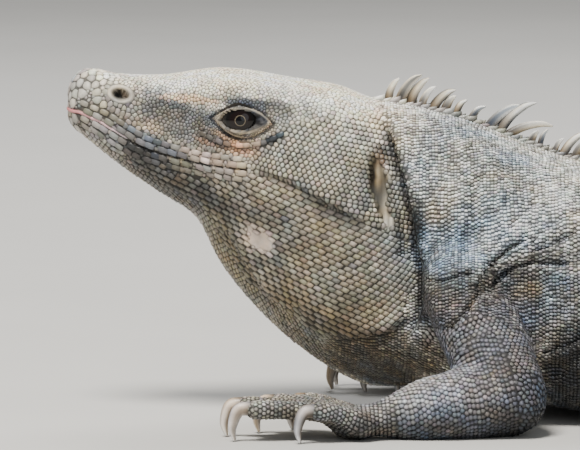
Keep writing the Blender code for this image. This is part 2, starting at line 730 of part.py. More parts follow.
def eyeball(side, radius):
    work = bmesh.new()
    centre = Vector(place(EYE_S, side * EYE_Y, EYE_Z)) * MM
    bmesh.ops.create_uvsphere(
        work, u_segments=14, v_segments=9, radius=radius * MM,
        matrix=Matrix.Translation(centre) @ Matrix.Rotation(math.pi / 2, 4, "X"),
    )
    mesh = bpy.data.meshes.new("eyeball")
    work.to_mesh(mesh)
    work.free()
    return object_of("eyeball", mesh)


def centre_origin(names):
    """Shifts every part so that the origin is under the middle of the whole animal."""
    points = np.vstack([coordinates(bpy.data.objects[n].data) for n in names])
    low, high = points.min(0), points.max(0)
    shift = Vector((*(-(low + high)[:2] / 2), -low[2])) * MM
    for n in names:
        bpy.data.objects[n].data.transform(Matrix.Translation(shift))


def main():
    for old in list(bpy.data.objects):
        bpy.data.objects.remove(old)
    body = flesh()
    boolean(body, spines(), "UNION")
    boolean(body, claws(), "UNION")
    boolean(body, floor_block(), "DIFFERENCE")
    for side in (LEFT, RIGHT):
        boolean(body, eyeball(side, EYE_R + CUT), "DIFFERENCE")
    for cutter in list(cutters(body)):
        boolean(body, cutter, "DIFFERENCE")
    marks = landmarks()
    names = []
    for mesh, centre in pieces_of(body):
        name = min(marks, key=lambda n: np.linalg.norm(marks[n] - centre))
        kind = "tail" if name.startswith("tail") else name
        finish_node(object_of(name, mesh), name, SKIN_COLOURS.get(kind, SKIN_COLOURS["limb"]), 0.75)
        names.append(name)
    bpy.data.objects.remove(body)
    for label, side in SIDES.items():
        finish_node(eyeball(side, EYE_R), f"eye_{label}", (0.03, 0.02, 0.02), 0.1)
        names.append(f"eye_{label}")
    centre_origin(names)


main()
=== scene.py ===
import math
from collections import namedtuple

import bmesh
import bpy
import numpy as np
from mathutils import Matrix, Vector
from mathutils.bvhtree import BVHTree
from mathutils.kdtree import KDTree


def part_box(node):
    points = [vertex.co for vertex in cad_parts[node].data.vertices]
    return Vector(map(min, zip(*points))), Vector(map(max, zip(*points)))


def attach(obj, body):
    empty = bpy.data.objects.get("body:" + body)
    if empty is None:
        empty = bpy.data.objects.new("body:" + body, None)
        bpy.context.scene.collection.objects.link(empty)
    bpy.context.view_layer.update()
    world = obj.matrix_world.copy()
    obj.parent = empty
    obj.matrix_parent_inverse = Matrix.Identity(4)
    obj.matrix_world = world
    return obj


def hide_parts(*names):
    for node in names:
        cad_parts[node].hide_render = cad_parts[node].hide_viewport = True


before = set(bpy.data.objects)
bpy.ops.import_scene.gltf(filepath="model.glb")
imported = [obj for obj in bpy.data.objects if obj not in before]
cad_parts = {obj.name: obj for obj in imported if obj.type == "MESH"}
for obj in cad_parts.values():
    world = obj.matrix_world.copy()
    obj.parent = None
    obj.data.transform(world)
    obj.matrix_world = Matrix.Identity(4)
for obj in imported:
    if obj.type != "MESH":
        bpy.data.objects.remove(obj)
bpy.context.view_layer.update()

# The looks of a spiny-tailed iguana lying at rest: one skin over the whole animal, a coat of
# solid scales on it, the crest, the claws and the eyes.
#
# Shapes are worked out in the anatomy's own millimetres: the snout is at s = 0 and points along
# -X, the animal's left side is -Y, the floor is z = 0, and s is the distance behind the snout
# tip along the body's line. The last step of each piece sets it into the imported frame, whose
# scale and place are read from the two eyes.

MM = 0.001

# ---------------------------------------------------------------- driving sizes
SNOUT_TO_VENT = 405.0
TAIL_LENGTH = 700.0
BODY_LENGTH = SNOUT_TO_VENT + TAIL_LENGTH
EYE_S, EYE_Z, EYE_Y, EYE_R = 48.8, 83.6, 17.0, 6.6
SINK = 0.8  # how far the soft underside presses flat on the floor
FORE_LENGTH = 150.0  # the head, throat and neck, which have finer forms than the rest
FORE_HALF = 47.0  # greatest half width of the fore body, with only the arms outside it
VOXEL = 1.5

# The heading of the body's line, in degrees towards the animal's right, at distances s.
HEADING = [(0, 0), (150, 0), (300, 4), (405, 9), (520, 22), (700, 38), (880, 26), (1105, -12)]

# Cross-sections of the head, throat and neck: s, top, bottom, then the half width and height
# of four places down the side: brow, cheek, jaw and throat.
HEAD_SECTIONS = [
    (0.0, 91.5, 81.5, (3.0, 90.6), (4.2, 88.0), (4.2, 85.0), (3.0, 82.4)),
    (1.6, 94.6, 79.8, (4.6, 93.4), (6.6, 89.4), (6.8, 84.4), (5.0, 81.0)),
    (5.5, 96.8, 76.6, (6.2, 95.4), (8.8, 90.6), (9.4, 83.4), (7.0, 78.4)),
    (15.0, 95.2, 69.0, (7.8, 93.6), (11.0, 88.4), (12.4, 79.0), (9.0, 71.8)),
    (26.0, 95.0, 61.4, (10.4, 92.6), (13.2, 85.6), (15.2, 74.6), (10.6, 65.0)),
    (36.0, 96.3, 54.6, (14.4, 93.2), (16.4, 84.0), (18.2, 71.0), (12.4, 60.0)),
    (42.0, 97.0, 42.6, (17.0, 93.4), (19.4, 83.0), (20.4, 68.0), (11.6, 52.6)),
    (50.0, 96.4, 32.0, (18.8, 92.4), (22.0, 81.6), (23.6, 64.6), (12.6, 43.0)),
    (62.0, 94.2, 20.2, (19.8, 90.4), (27.0, 77.0), (25.6, 57.0), (15.4, 33.0)),
    (75.0, 92.2, 11.2, (19.6, 88.0), (29.0, 72.0), (26.2, 50.0), (18.0, 25.0)),
    (86.0, 88.2, 7.0, (17.6, 84.0), (27.2, 68.0), (26.4, 45.0), (19.4, 19.0)),
    (96.0, 86.6, 7.0, (17.8, 82.0), (27.0, 66.0), (28.4, 43.0), (22.0, 17.0)),
    (110.0, 83.2, 7.0, (21.0, 78.0), (32.4, 62.0), (36.0, 38.0), (27.0, 13.0)),
    (126.0, 77.0, 4.6, (24.0, 72.0), (37.4, 57.0), (42.0, 32.0), (32.0, 9.0)),
]

# The trunk and tail: s, half width, top, bottom. Their sections share one shape.
TRUNK_SECTIONS = [
    (146.0, 45.0, 70.6, 2.4),
    (180.0, 49.0, 68.6, -0.4),
    (240.0, 54.0, 68.0, -SINK),
    (300.0, 50.0, 64.0, -SINK),
    (345.0, 40.0, 58.0, -0.2),
    (380.0, 30.5, 52.0, 1.2),
    (SNOUT_TO_VENT, 25.0, 47.0, 1.0),
    (440.0, 21.0, 40.0, -0.2),
    (520.0, 16.6, 30.0, -SINK),
    (680.0, 11.6, 20.0, -SINK),
    (850.0, 7.2, 12.6, -SINK),
    (1000.0, 4.2, 7.4, -0.5),
    (1080.0, 2.4, 4.4, -0.2),
    (BODY_LENGTH, 1.1, 2.4, 0.2),
]
TRUNK_SHAPE = ((0.54, 0.935), (0.86, 0.72), (1.0, 0.34), (0.76, 0.03))

# Swells (+) and hollows (-) on each side of the head and neck: s, height, the two half lengths,
# the slope of the first of them in degrees, and how far the surface moves.
SIDE_FORMS = [
    (46.0, 92.8, 9.0, 2.6, 4, 1.2),  # brow ridge
    (31.0, 85.4, 7.5, 4.6, -24, -1.2),  # hollow before the eye
    (15.0, 90.0, 3.4, 3.0, 0, 1.0),  # swelling round the nostril
    (48.8, 83.4, 9.0, 5.4, -8, 1.6),  # eyelids
    (50.0, 75.8, 9.0, 2.0, -10, -0.6),  # groove under the eye
    (73.0, 68.6, 10.5, 8.0, -20, 2.2),  # jowl
    (87.0, 64.0, 9.6, 2.6, 98, -1.6),  # eardrum
    (70.0, 88.4, 9.0, 3.0, -8, 0.8),  # temple
    (36.0, 68.2, 16.0, 2.6, -24, -1.0),  # channel under the lips
    (74.0, 34.0, 12.0, 12.0, 0, 1.6),  # side of the throat pouch
]

# Folds of loose skin on each side: the line as (s, height), the drop on its right-hand side
# when followed from first to last, the width of the drop and the swelling of the lip above it.
FOLDS = [
    ([(86.6, 90), (89.4, 82), (92.4, 72.4), (94.8, 61.6), (97.2, 49.8), (98.8, 40), (98.2, 32),
      (94.6, 22.4)], 2.6, 7.0, 0.8),  # behind the ear, down the back of the throat pouch
    ([(53, 70.4), (61, 67.6), (70, 62.8), (76, 59.6), (85, 55.4)], 1.2, 5.0, 0.3),  # under the jowl
    ([(129, 54.6), (124, 51.2), (119.6, 46.6), (116.6, 42.2), (113.6, 38)], -1.6, 4.0, 0.5),  # neck
    ([(100, 30.4), (106, 33), (111, 36), (117, 40.8), (124, 45.6), (131, 48), (139, 49),
      (148, 47.4)], 2.2, 6.0, 0.8),  # hood of skin over the shoulder
]

LEFT, RIGHT = -1, 1
SIDES = {"left": LEFT, "right": RIGHT}

# Joints of the limbs as (s, distance from the midline, height) and the radii along each bone.
ARM = {
    LEFT: {"shoulder": (110, 32, 39), "elbow": (121.5, 56.5, 10.8), "wrist": (90, 62, 5.9), "turn": 3},
    RIGHT: {"shoulder": (122, 34, 37), "elbow": (149, 59, 10.8), "wrist": (119, 56, 5.9), "turn": -2},
}
UPPER_ARM_R, FOREARM_R = (12.6, 12.2, 11.4), (11.4, 10.4, 9.2, 6.2)
LEG = {
    LEFT: {"hip": (372, 24, 28), "knee": (334, 74, 22), "ankle": (371, 92, 7.4), "turn": 43},
    RIGHT: {"hip": (372, 24, 28), "knee": (340, 76, 21), "ankle": (380, 92, 7.4), "turn": 38},
}
THIGH_R, SHIN_R = (17.0, 16.0, 12.0), (12.0, 10.8, 9.4, 6.6)

# Digits from the inner one out: length, splay in degrees outwards, place across the palm.
FINGERS = [(12, -34, -7.6), (20, -20, -4.6), (28, -8, -1.4), (26, 3, 3.0), (9, 14, 7.4)]
TOES = [(14, -40, -6.4), (24, -24, -4.2), (35, -10, -1.4), (43, 2, 2.0), (24, 34, 5.8)]
PALM_LENGTH, SOLE_LENGTH = 12.0, 24.0
DIGIT_R, DIGIT_HEIGHTS = (3.5, 2.9, 3.0, 3.3), (5.4, 7.8, 8.6, 8.8)
CLAW_LENGTH, CLAW_R = 12.6, (1.9, 1.75, 1.2, 0.4)
# Each kind of limb: its joints, the radii of its two parts, its digits and its palm's length.
LIMBS = {
    "arm": (ARM, UPPER_ARM_R, FOREARM_R, FINGERS, PALM_LENGTH),
    "leg": (LEG, THIGH_R, SHIN_R, TOES, SOLE_LENGTH),
}

# The crest's first spines: s, length, lean back from upright in degrees, and width at the base.
NECK_SPINES = [
    (89.7, 7.1, 25, 2.5), (92.9, 10.1, 38, 3.2), (95.9, 9.2, 35, 2.9), (99.0, 6.9, 35, 2.3),
    (102.2, 8.5, 49, 3.0), (105.1, 5.6, 39, 2.8), (108.1, 5.4, 42, 2.3), (112.2, 5.9, 54, 2.2),
    (118.0, 11.1, 56, 3.0), (120.9, 13.5, 51, 3.0), (123.4, 13.0, 78, 2.6), (129.4, 4.2, 37, 2.3),
    (132.0, 5.4, 26, 1.8), (136.0, 4.7, 37, 1.7), (138.6, 9.4, 46, 2.6), (141.8, 8.2, 42, 2.4),
]
# Further back: s, length, lean and width, at a steady pitch.
CREST = [
    (146, 8.4, 44, 2.4), (200, 6.8, 50, 2.1), (260, 5.4, 52, 1.8), (330, 3.8, 55, 1.6), (386, 2.4, 58, 1.5),
]
CREST_PITCH = 9.6
SPINE_TIP_R, SPINE_DEPTH = 0.42, 1.45  # radius at the tip; width along the body over thickness
# How a spine bends over: shares of its length, their lean beyond the spine's own, and the taper.
SHORT_SPINE = 6.5
SHORT_CURVE = ((0.55, -8, 0.8), (0.45, 12, 0.0))
LONG_CURVE = ((0.38, -14, 0.88), (0.36, 3, 0.66), (0.26, 22, 0.0))

# ---------------------------------------------------------------- curves and tubes
def unit(v):
    return v / np.linalg.norm(v)


def rows_of(*columns):
    return np.stack(columns, axis=1)


def running(steps):
    """The sum of the steps before each of them and after the last."""
    return np.concatenate([[0], np.cumsum(steps)])


def run_of(line):
    """How far along a line each of its points lies."""
    return running(np.linalg.norm(np.diff(line, axis=0), axis=1))


def straight(line, at):
    """The second of each pair in a line, at values of the first, in straight steps."""
    line = np.array(line, float)
    return np.interp(at, line[:, 0], line[:, 1])


def eased(table, at):
    """A smooth curve through (x, y) rows that never overshoots them, read at the places at."""
    table = np.array(table, float)
    x, y = table[:, 0], table[:, 1:]
    step = np.diff(x)[:, None]
    rise = np.diff(y, axis=0) / step
    slope = np.zeros_like(y)
    same = rise[:-1] * rise[1:] > 0
    both = np.where(same, rise[:-1] + rise[1:], 1.0)
    slope[1:-1] = np.where(same, 2 * rise[:-1] * rise[1:] / both, 0)
    slope[0], slope[-1] = rise[0], rise[-1]
    at = np.clip(np.atleast_1d(np.asarray(at, float)), x[0], x[-1])
    i = np.clip(np.searchsorted(x, at, side="right") - 1, 0, len(x) - 2)
    h = step[i]
    t = (at - x[i])[:, None] / h
    t2, t3 = t * t, t * t * t
    return (
        (2 * t3 - 3 * t2 + 1) * y[i]
        + (t3 - 2 * t2 + t) * h * slope[i]
        + (3 * t2 - 2 * t3) * y[i + 1]
        + (t3 - t2) * h * slope[i + 1]
    )


PATH_S = np.arange(0.0, BODY_LENGTH + 1.0)
PATH_TURN = np.radians(eased(HEADING, PATH_S)[:, 0])
PATH_X, PATH_Y = running(np.cos(PATH_TURN[:-1])), running(np.sin(PATH_TURN[:-1]))


def place(s, aside, height):
    """World point, in millimetres, of a place s along the body's line and aside to its right."""
    s = np.asarray(s, float)
    turn = np.interp(s, PATH_S, PATH_TURN)
    x = np.interp(s, PATH_S, PATH_X) + np.minimum(s, 0.0)
    y = np.interp(s, PATH_S, PATH_Y)
    shape = np.broadcast(x, aside, height).shape
    return np.stack(
        [
            np.broadcast_to(x - aside * np.sin(turn), shape),
            np.broadcast_to(y + aside * np.cos(turn), shape),
            np.broadcast_to(height, shape),
        ],
        axis=-1,
    )


def spans(a, b, c, d, per_span):
    """Catmull-Rom spans from the points b to the points c, given those before and after them."""
    t = (np.arange(per_span) / per_span)[None, :, None]
    a, b, c, d = (q[:, None, :] for q in (a, b, c, d))
    square, cube = 2 * a - 5 * b + 4 * c - d, 3 * b - a - 3 * c + d
    return (0.5 * (2 * b + (c - a) * t + square * t**2 + cube * t**3)).reshape(-1, b.shape[2])


def closed_curve(points, per_span):
    """A smooth closed curve through points."""
    return spans(*(np.roll(points, k, axis=0) for k in (1, 0, -1, -2)), per_span)


def open_curve(points, per_span):
    """A smooth curve from the first point to the last."""
    p = np.vstack([2 * points[0] - points[1], points, 2 * points[-1] - points[-2]])
    return np.vstack([spans(p[:-3], p[1:-2], p[2:-1], p[3:], per_span), points[-1:]])


def section_table():
    """Every section as s followed by the heights and half widths of its ten control points."""
    rows = [[*row[:3], *(v for pair in row[3:] for v in pair)] for row in HEAD_SECTIONS]
    for s, half, top, bottom in TRUNK_SECTIONS:
        side = [v for w, z in TRUNK_SHAPE for v in (w * half, bottom + z * (top - bottom))]
        rows.append([s, top, bottom, *side])
    return rows


def body_tube():
    """The head, throat, neck, trunk and tail as one closed tube of rings: (points, faces)."""
    head = np.arange(0, FORE_LENGTH, 1.5)
    trunk = np.arange(FORE_LENGTH, BODY_LENGTH, 4.0)
    stations = np.concatenate([head, trunk, [BODY_LENGTH]])
    rings = []
    for s, row in zip(stations, eased(section_table(), stations), strict=True):
        top, bottom = row[:2]
        side = row[2:].reshape(4, 2)
        left = side[::-1] * (-1, 1)
        ring = closed_curve(np.vstack([[0, top], side, [0, bottom], left]), 5)
        rings.append(place(s, ring[:, 0], ring[:, 1]))
    return closed_tube(rings)


def closed_tube(rings):
    """Points and faces of a tube through rings of equal length, capped with a fan at each end."""
    rings = np.array(rings)
    count, around = rings.shape[:2]
    points = np.vstack([rings.reshape(-1, 3), rings[0].mean(0), rings[-1].mean(0)])
    faces = []
    for i in range(count - 1):
        for j in range(around):
            k = (j + 1) % around
            faces.append((i * around + j, i * around + k, (i + 1) * around + k, (i + 1) * around + j))
    first, last = count * around, count * around + 1
    end = (count - 1) * around
    for j in range(around):
        k = (j + 1) % around
        faces.append((first, k, j))
        faces.append((last, end + j, end + k))
    return points, faces


def limb_tube(joints, radii, flat=1.0, around=14, per_span=8, round_ends=True):
    """A tube through joints with a radius at each; flat is its height over its width."""
    line = open_curve(np.array([[*p, r] for p, r in zip(joints, radii, strict=True)], float), per_span)
    centre, radius = line[:, :3], line[:, 3]
    along = np.gradient(centre, axis=0)
    along /= np.linalg.norm(along, axis=1, keepdims=True)
    start, stop = [], []
    for bend in np.radians([75, 50, 25] if round_ends else []):
        reach, shrink = math.sin(bend), math.cos(bend)
        start.append((centre[0] - along[0] * radius[0] * reach, radius[0] * shrink, along[0]))
        stop.insert(0, (centre[-1] + along[-1] * radius[-1] * reach, radius[-1] * shrink, along[-1]))
    turn = np.arange(around) * 2 * math.pi / around
    rings = []
    side = np.cross(along[0], (0, 0, 1))
    for c, r, t in [*start, *zip(centre, radius, along, strict=True), *stop]:
        side = unit(side - t * (side @ t))
        up = np.cross(side, t)
        rings.append(c + r * (np.outer(np.cos(turn), side) + flat * np.outer(np.sin(turn), up)))
    return closed_tube(rings)


# ---------------------------------------------------------------- limbs, claws and crest
def between(a, b, share):
    return np.array(a) + (np.array(b) - np.array(a)) * share


def side_point(side, joint):
    return place(joint[0], side * joint[1], joint[2])


def digit_layout(side, root, turn, table, palm):
    """For each digit the points from its knuckle to the base of its claw, and the way it points.
    turn is how far the limb's end points outwards from straight ahead, in degrees."""
    layout = []
    for length, splay, across in table:
        palm_turn = math.radians(turn)
        ahead = np.array([-math.cos(palm_turn), side * math.sin(palm_turn), 0])
        outward = np.array([math.sin(palm_turn), side * math.cos(palm_turn), 0])
        knuckle = np.array([*root[:2], 0]) + ahead * palm + outward * across
        way = math.radians(turn + splay)
        forward = np.array([-math.cos(way), side * math.sin(way), 0])
        reach = zip((-3.0 / length, 0.38, 0.72, 1.0), DIGIT_HEIGHTS, strict=True)
        points = [knuckle + forward * share * length + (0, 0, height) for share, height in reach]
        layout.append((points, forward))
    return layout


def extremity(side, root, turn, table, palm):
    """Tubes of a hand or foot: the palm and the digits."""
    layout = digit_layout(side, root, turn, table, palm)
    knuckles = np.array([points[0] for points, _ in layout])
    middle = knuckles.mean(0) - (0, 0, 0.8)
    tubes = [
        limb_tube([root, between(root, middle, 0.5), middle], (6.0, 7.0, 8.4), flat=0.62),
        limb_tube([knuckles[0] - (0, 0, 0.8), middle, knuckles[-1] - (0, 0, 0.8)], (3.8, 4.6, 3.8)),
    ]
    return tubes + [limb_tube(points, DIGIT_R, around=12, per_span=4) for points, _ in layout]


def claw_curves(side, root, turn, table, palm):
    """The centre lines of the claws: out of each digit's end, over and down to the floor."""
    curves = []
    for points, forward in digit_layout(side, root, turn, table, palm):
        tip = points[-1]
        ground = np.array([*tip[:2], 0.0])
        curves.append([
            tip + forward * CLAW_LENGTH * 0.05 + (0, 0, 0.3),
            tip + forward * CLAW_LENGTH * 0.33 - (0, 0, 0.3),
            ground + forward * CLAW_LENGTH * 0.46 + (0, 0, 0.46 * tip[2]),
            ground + forward * CLAW_LENGTH * 0.41 + (0, 0, CLAW_R[-1] + 0.05),
        ])
    return curves


def limb_ends():
    """(side, end point, turn, digits, palm length) of both hands and both feet."""
    for side in (LEFT, RIGHT):
        for limb, _, _, table, palm in LIMBS.values():
            yield side, chain(side, limb)[2], limb[side]["turn"], table, palm


def chain(side, limb):
    """The three joints of a limb, from the body out."""
    return [side_point(side, v) for k, v in limb[side].items() if k != "turn"]


def limb_tubes():
    tubes = []
    for side in (LEFT, RIGHT):
        for limb, upper_r, lower_r, _, _ in LIMBS.values():
            root, middle, end = chain(side, limb)
            tubes.append(limb_tube([root, between(root, middle, 0.5), middle], upper_r))
            lower = [between(middle, end, share) for share in (0, 0.38, 0.72, 1)]
            tubes.append(limb_tube(lower, lower_r))
    for end in limb_ends():
        tubes += extremity(*end)
    return tubes


def crest_spines():
    """(s, length, lean, width) of every spine of the crest, from the nape to the hips."""
    spines = list(NECK_SPINES)
    s, turn = CREST[0][0] + 1.0, 0
    while s < CREST[-1][0]:
        length, lean, width = eased(CREST, s)[0]
        length, lean = length * (0.8 + 0.2 * math.sin(2.4 * turn)), lean + 6 * math.sin(1.3 * turn)
        spines.append((s, length, lean, width))
        s, turn = s + CREST_PITCH * (0.95 + 0.08 * math.sin(1.7 * turn)), turn + 1
    return spines


def top_height(s):
    return eased([(row[0], row[1]) for row in section_table()], s)[0, 0]


def spine_curve(s, length, lean, width):
    """A spine's centre line, leaning back and curving over, and its radii."""
    thick = 0.5 * width / SPINE_DEPTH
    line, radii = [place(s - 0.5, 0, top_height(s) - 1.8)], [thick]
    ahead, up = s, top_height(s)
    shares = SHORT_CURVE
    if length > SHORT_SPINE:
        shares = LONG_CURVE
        line.append(place(ahead, 0, up))
        radii.append(thick)
    for share, bend, taper in shares:
        angle = math.radians(lean + bend)
        ahead, up = ahead + share * length * math.sin(angle), up + share * length * math.cos(angle)
        line.append(place(ahead, 0, up))
        radii.append(max(taper * thick, SPINE_TIP_R))
    return line, radii


# ---------------------------------------------------------------- meshes
def mesh_of(tubes):
    """One mesh, in metres, of (points, faces) pairs in millimetres."""
    points, faces, start = [], [], 0
    for p, f in tubes:
        points.append(p)
        faces += [tuple(v + start for v in face) for face in f]
        start += len(p)
    mesh = bpy.data.meshes.new("tubes")
    mesh.from_pydata([tuple(v) for v in np.vstack(points) * MM], [], faces)
    work = bmesh.new()
    work.from_mesh(mesh)
    bmesh.ops.recalc_face_normals(work, faces=work.faces)
    work.to_mesh(mesh)
    work.free()
    return mesh


def object_of(name, mesh):
    made = bpy.data.objects.new(name, mesh)
    bpy.context.scene.collection.objects.link(made)
    return made


def settle(made):
    """Applies an object's modifiers."""
    bpy.context.view_layer.update()
    graph = bpy.context.evaluated_depsgraph_get()
    mesh = bpy.data.meshes.new_from_object(made.evaluated_get(graph))
    made.modifiers.clear()
    made.data = mesh
    return made


def values(items, name, width, kind=float):
    """A property of all the items of a mesh, in rows of the given width."""
    flat = np.empty(len(items) * width, kind)
    items.foreach_get(name, flat)
    return flat.reshape(-1, width)


def coordinates(mesh):
    return values(mesh.vertices, "co", 3) / MM


def set_coordinates(mesh, points):
    mesh.vertices.foreach_set("co", (points * MM).ravel())
    mesh.update()


def relax(mesh, rounds, weight=1.0):
    """Moves each vertex part of the way to its neighbours' mean, in several rounds."""
    a, b = values(mesh.edges, "vertices", 2, np.int64).T
    points = coordinates(mesh)
    count = np.bincount(a, minlength=len(points)) + np.bincount(b, minlength=len(points))
    weight = np.broadcast_to(weight, len(points))[:, None] * 0.5
    for _ in range(rounds):
        total = rows_of(*(
            np.bincount(a, column[b], len(points)) + np.bincount(b, column[a], len(points))
            for column in points.T
        ))
        points = points + weight * (total / np.maximum(count, 1)[:, None] - points)
    set_coordinates(mesh, points)


def line_distance(line, x, z):
    """Distance of the points (x, z) from a line, signed positive on its right, and how far
    along the line the nearest place is, from 0 to 1."""
    line = open_curve(np.array(line, float), 6)
    best = np.full(len(x), 1e9)
    sign, share = np.ones(len(x)), np.zeros(len(x))
    for i, (p, q) in enumerate(zip(line[:-1], line[1:], strict=True)):
        d = q - p
        t = np.clip(((x - p[0]) * d[0] + (z - p[1]) * d[1]) / (d @ d), 0, 1)
        off_x, off_z = x - p[0] - t * d[0], z - p[1] - t * d[1]
        distance = np.hypot(off_x, off_z)
        near = distance < best
        best = np.where(near, distance, best)
        sign = np.where(near, np.sign(d[1] * off_x - d[0] * off_z), sign)
        share = np.where(near, (i + t) / (len(line) - 1), share)
    return best * np.where(sign == 0, 1, sign), share


def sloped(x, z, form):
    """Places measured from the middle of an oval (s, height, half length, half height, slope in
    degrees) along and across it, as shares of its halves."""
    s, height, long, wide, slope = form
    c, d = math.cos(math.radians(slope)), math.sin(math.radians(slope))
    return ((x - s) * c + (z - height) * d) / long, ((z - height) * c - (x - s) * d) / wide


def bell(value, middle, width):
    return np.exp(-(((value - middle) / width) ** 2))


def lay_fold(x, z, form, fading, edge):
    """A fold laid out as in FOLDS: how strong it is at its ends, and how far it moves the
    surface, which drops from the given edge on."""
    line, drop, width, lip = form
    away, share = line_distance(line, x, z)
    away = away * np.sign(drop)
    fade = np.clip(np.minimum(share, 1 - share) * fading[0] + fading[1], 0, 1)
    under = -abs(drop) * np.exp(-np.maximum(away, 0) / width) * (away > edge)
    return fade, under + lip * bell(away, -0.6 * width, width)


def shape_sides(mesh):
    """Raises the swells, sinks the hollows and lays the folds on both sides of the fore body."""
    points, facing = coordinates(mesh), values(mesh.vertices, "normal", 3)
    x, z = points[:, 0], points[:, 2]
    sideways = np.clip(np.abs(facing[:, 1]) * 1.5, 0, 1) * (np.abs(points[:, 1]) > 3)
    on_trunk = (np.abs(points[:, 1]) < FORE_HALF) & (x < FORE_LENGTH + 10)
    move = np.zeros(len(points))
    for *form, amount in SIDE_FORMS:
        u, v = sloped(x, z, form)
        move += amount * np.exp(-u * u - v * v)
    for form in FOLDS:
        fade, rise = lay_fold(x, z, form, (6, 0.25), 0)
        move += fade * rise
    points += facing * (move * sideways * on_trunk)[:, None]
    set_coordinates(mesh, points)


# ---------------------------------------------------------------- the skin
SKIN_DEPTH = 0.45  # how far the skin lies under the tips of the scales
FACE_DEPTH = 0.30
FLOOR_GAP = 0.1
REST_THINNING = 0.42  # share of the faces kept behind the neck and on the limbs
LID_R = EYE_R + 0.75
OPENING = (49.2, 83.7, 6.5, 2.5, 2.4)  # middle s and height, half length, reach above and below
LID_FOLDS = (49.0, 83.5, 8.9, 4.35, 5.1, -4)  # the creases round the lids, with their slope
NOSTRIL = (15.1, 90.1, 2.5, 1.6, -12)  # s, height, half length, half height, slope in degrees
EAR = (87.3, 64.3, 10.6, 3.0, 98)
LIPS = [
    (0, 85.9), (3, 84.9), (6.2, 83.6), (9.8, 82.0), (13.7, 79.6), (20.2, 75.9), (25.8, 74.0),
    (31.4, 72.6), (37, 71.4), (43, 70.7), (50, 70.1),
]
LIP_GAP, LIP_DEPTH = 0.36, 0.8
BALD = (53.6, 50.2, 4.0, 2.4, -35)  # a worn patch without scales on each side of the throat

# Finer folds of the skin, laid out as in FOLDS.
SKIN_FOLDS = [
    ([(88.0, 83.2), (89.8, 79), (91.6, 73.4), (94.4, 62.6), (96.8, 50.7), (98.6, 40.7),
      (98.2, 32.5), (95, 23.2)], 2.6, 2.6, 0.9),  # behind the ear and the throat pouch
    ([(98.6, 41.0), (104, 42.0), (109, 43.8), (114, 45.0)], 1.2, 1.8, 0.7),
    ([(101, 27.5), (105.5, 28.8), (110, 33.2), (114.6, 39.1), (119, 45.7), (123.5, 49.8),
      (131, 54.7)], -1.9, 2.2, 0.9),  # hood of skin over the shoulder
    ([(116, 36.8), (122, 42.8), (128.6, 45.5), (134, 45.3), (144, 45)], -1.8, 2.2, 1.0),
    ([(129, 20), (134, 21.5), (140, 24), (147, 27)], -1.5, 2.0, 0.8),
    ([(72.5, 22.4), (82.7, 23.0), (90, 25.4), (95.7, 30.4)], 1.2, 2.2, 0.7),
    ([(107, 50), (111, 56), (112, 63), (111, 70)], 0.5, 2.4, 0.4),
    ([(116, 47), (121, 54), (127, 60), (133, 64)], -0.6, 2.2, 0.4),
    ([(122, 46), (128, 51), (134, 56), (142, 60)], -0.6, 2.2, 0.4),
    ([(127, 48.2), (132, 49.8), (138, 52.3), (142, 55.2)], -1.3, 2.4, 0.8),
    ([(92, 71.5), (94.6, 62.6), (96, 52.7), (95.5, 45.7)], -0.7, 1.4, 0.3),
    ([(88.5, 55.6), (90.6, 62.6), (90.8, 70.5), (88.8, 77.2)], 0.7, 1.3, 0.3),
    ([(52, 70), (61, 67.6), (70, 62.8), (76, 59.6), (85, 55.4)], 0.7, 1.6, 0.6),
    ([(38, 78.5), (44, 76.2), (50, 75.8), (56, 77.8), (61, 80)], 0.5, 1.5, 0.4),
    ([(42, 54.1), (47.5, 46.1), (54, 35.8), (61.5, 27.7)], 0.6, 2.0, 0.4),
]


def almond(x, z):
    """How far a place beside the eye is outside the opening between the lids, in millimetres."""
    s, height, long, above, below = OPENING
    u = np.clip(np.abs(x - s) / long, 0, 1)
    edge = np.where(z > height, above, below) * (1 - u**2.3)
    beyond = np.maximum(np.abs(x - s) - long, 0)
    return np.abs(z - height) - edge + beyond


def oval(x, z, form):
    """1 on the rim of an oval laid out as for sloped, and less inside it."""
    return np.hypot(*sloped(x, z, form))


def rotated(points, slope):
    """Points turned about the sideways axis, so that a slope in degrees becomes level."""
    c, d = math.cos(math.radians(slope)), math.sin(math.radians(slope))
    x, z = points[:, 0], points[:, 2]
    return rows_of(z * c - x * d, points[:, 1], x * c + z * d)


def eased_step(value, low, high):
    t = np.clip((value - low) / (high - low), 0, 1)
    return t * t * (3 - 2 * t)


def lid_share(x, z):
    """0 in the middle of the eye and 1 on the pointed crease round its lids."""
    s, height, long, above, below, slope = LID_FOLDS
    u, v = sloped(x, z, (s, height, long, 1, slope))
    v = np.abs(v) / np.where(v > 0, above, below)
    return (v + np.sqrt(v**2 + 4 * u**2)) / 2


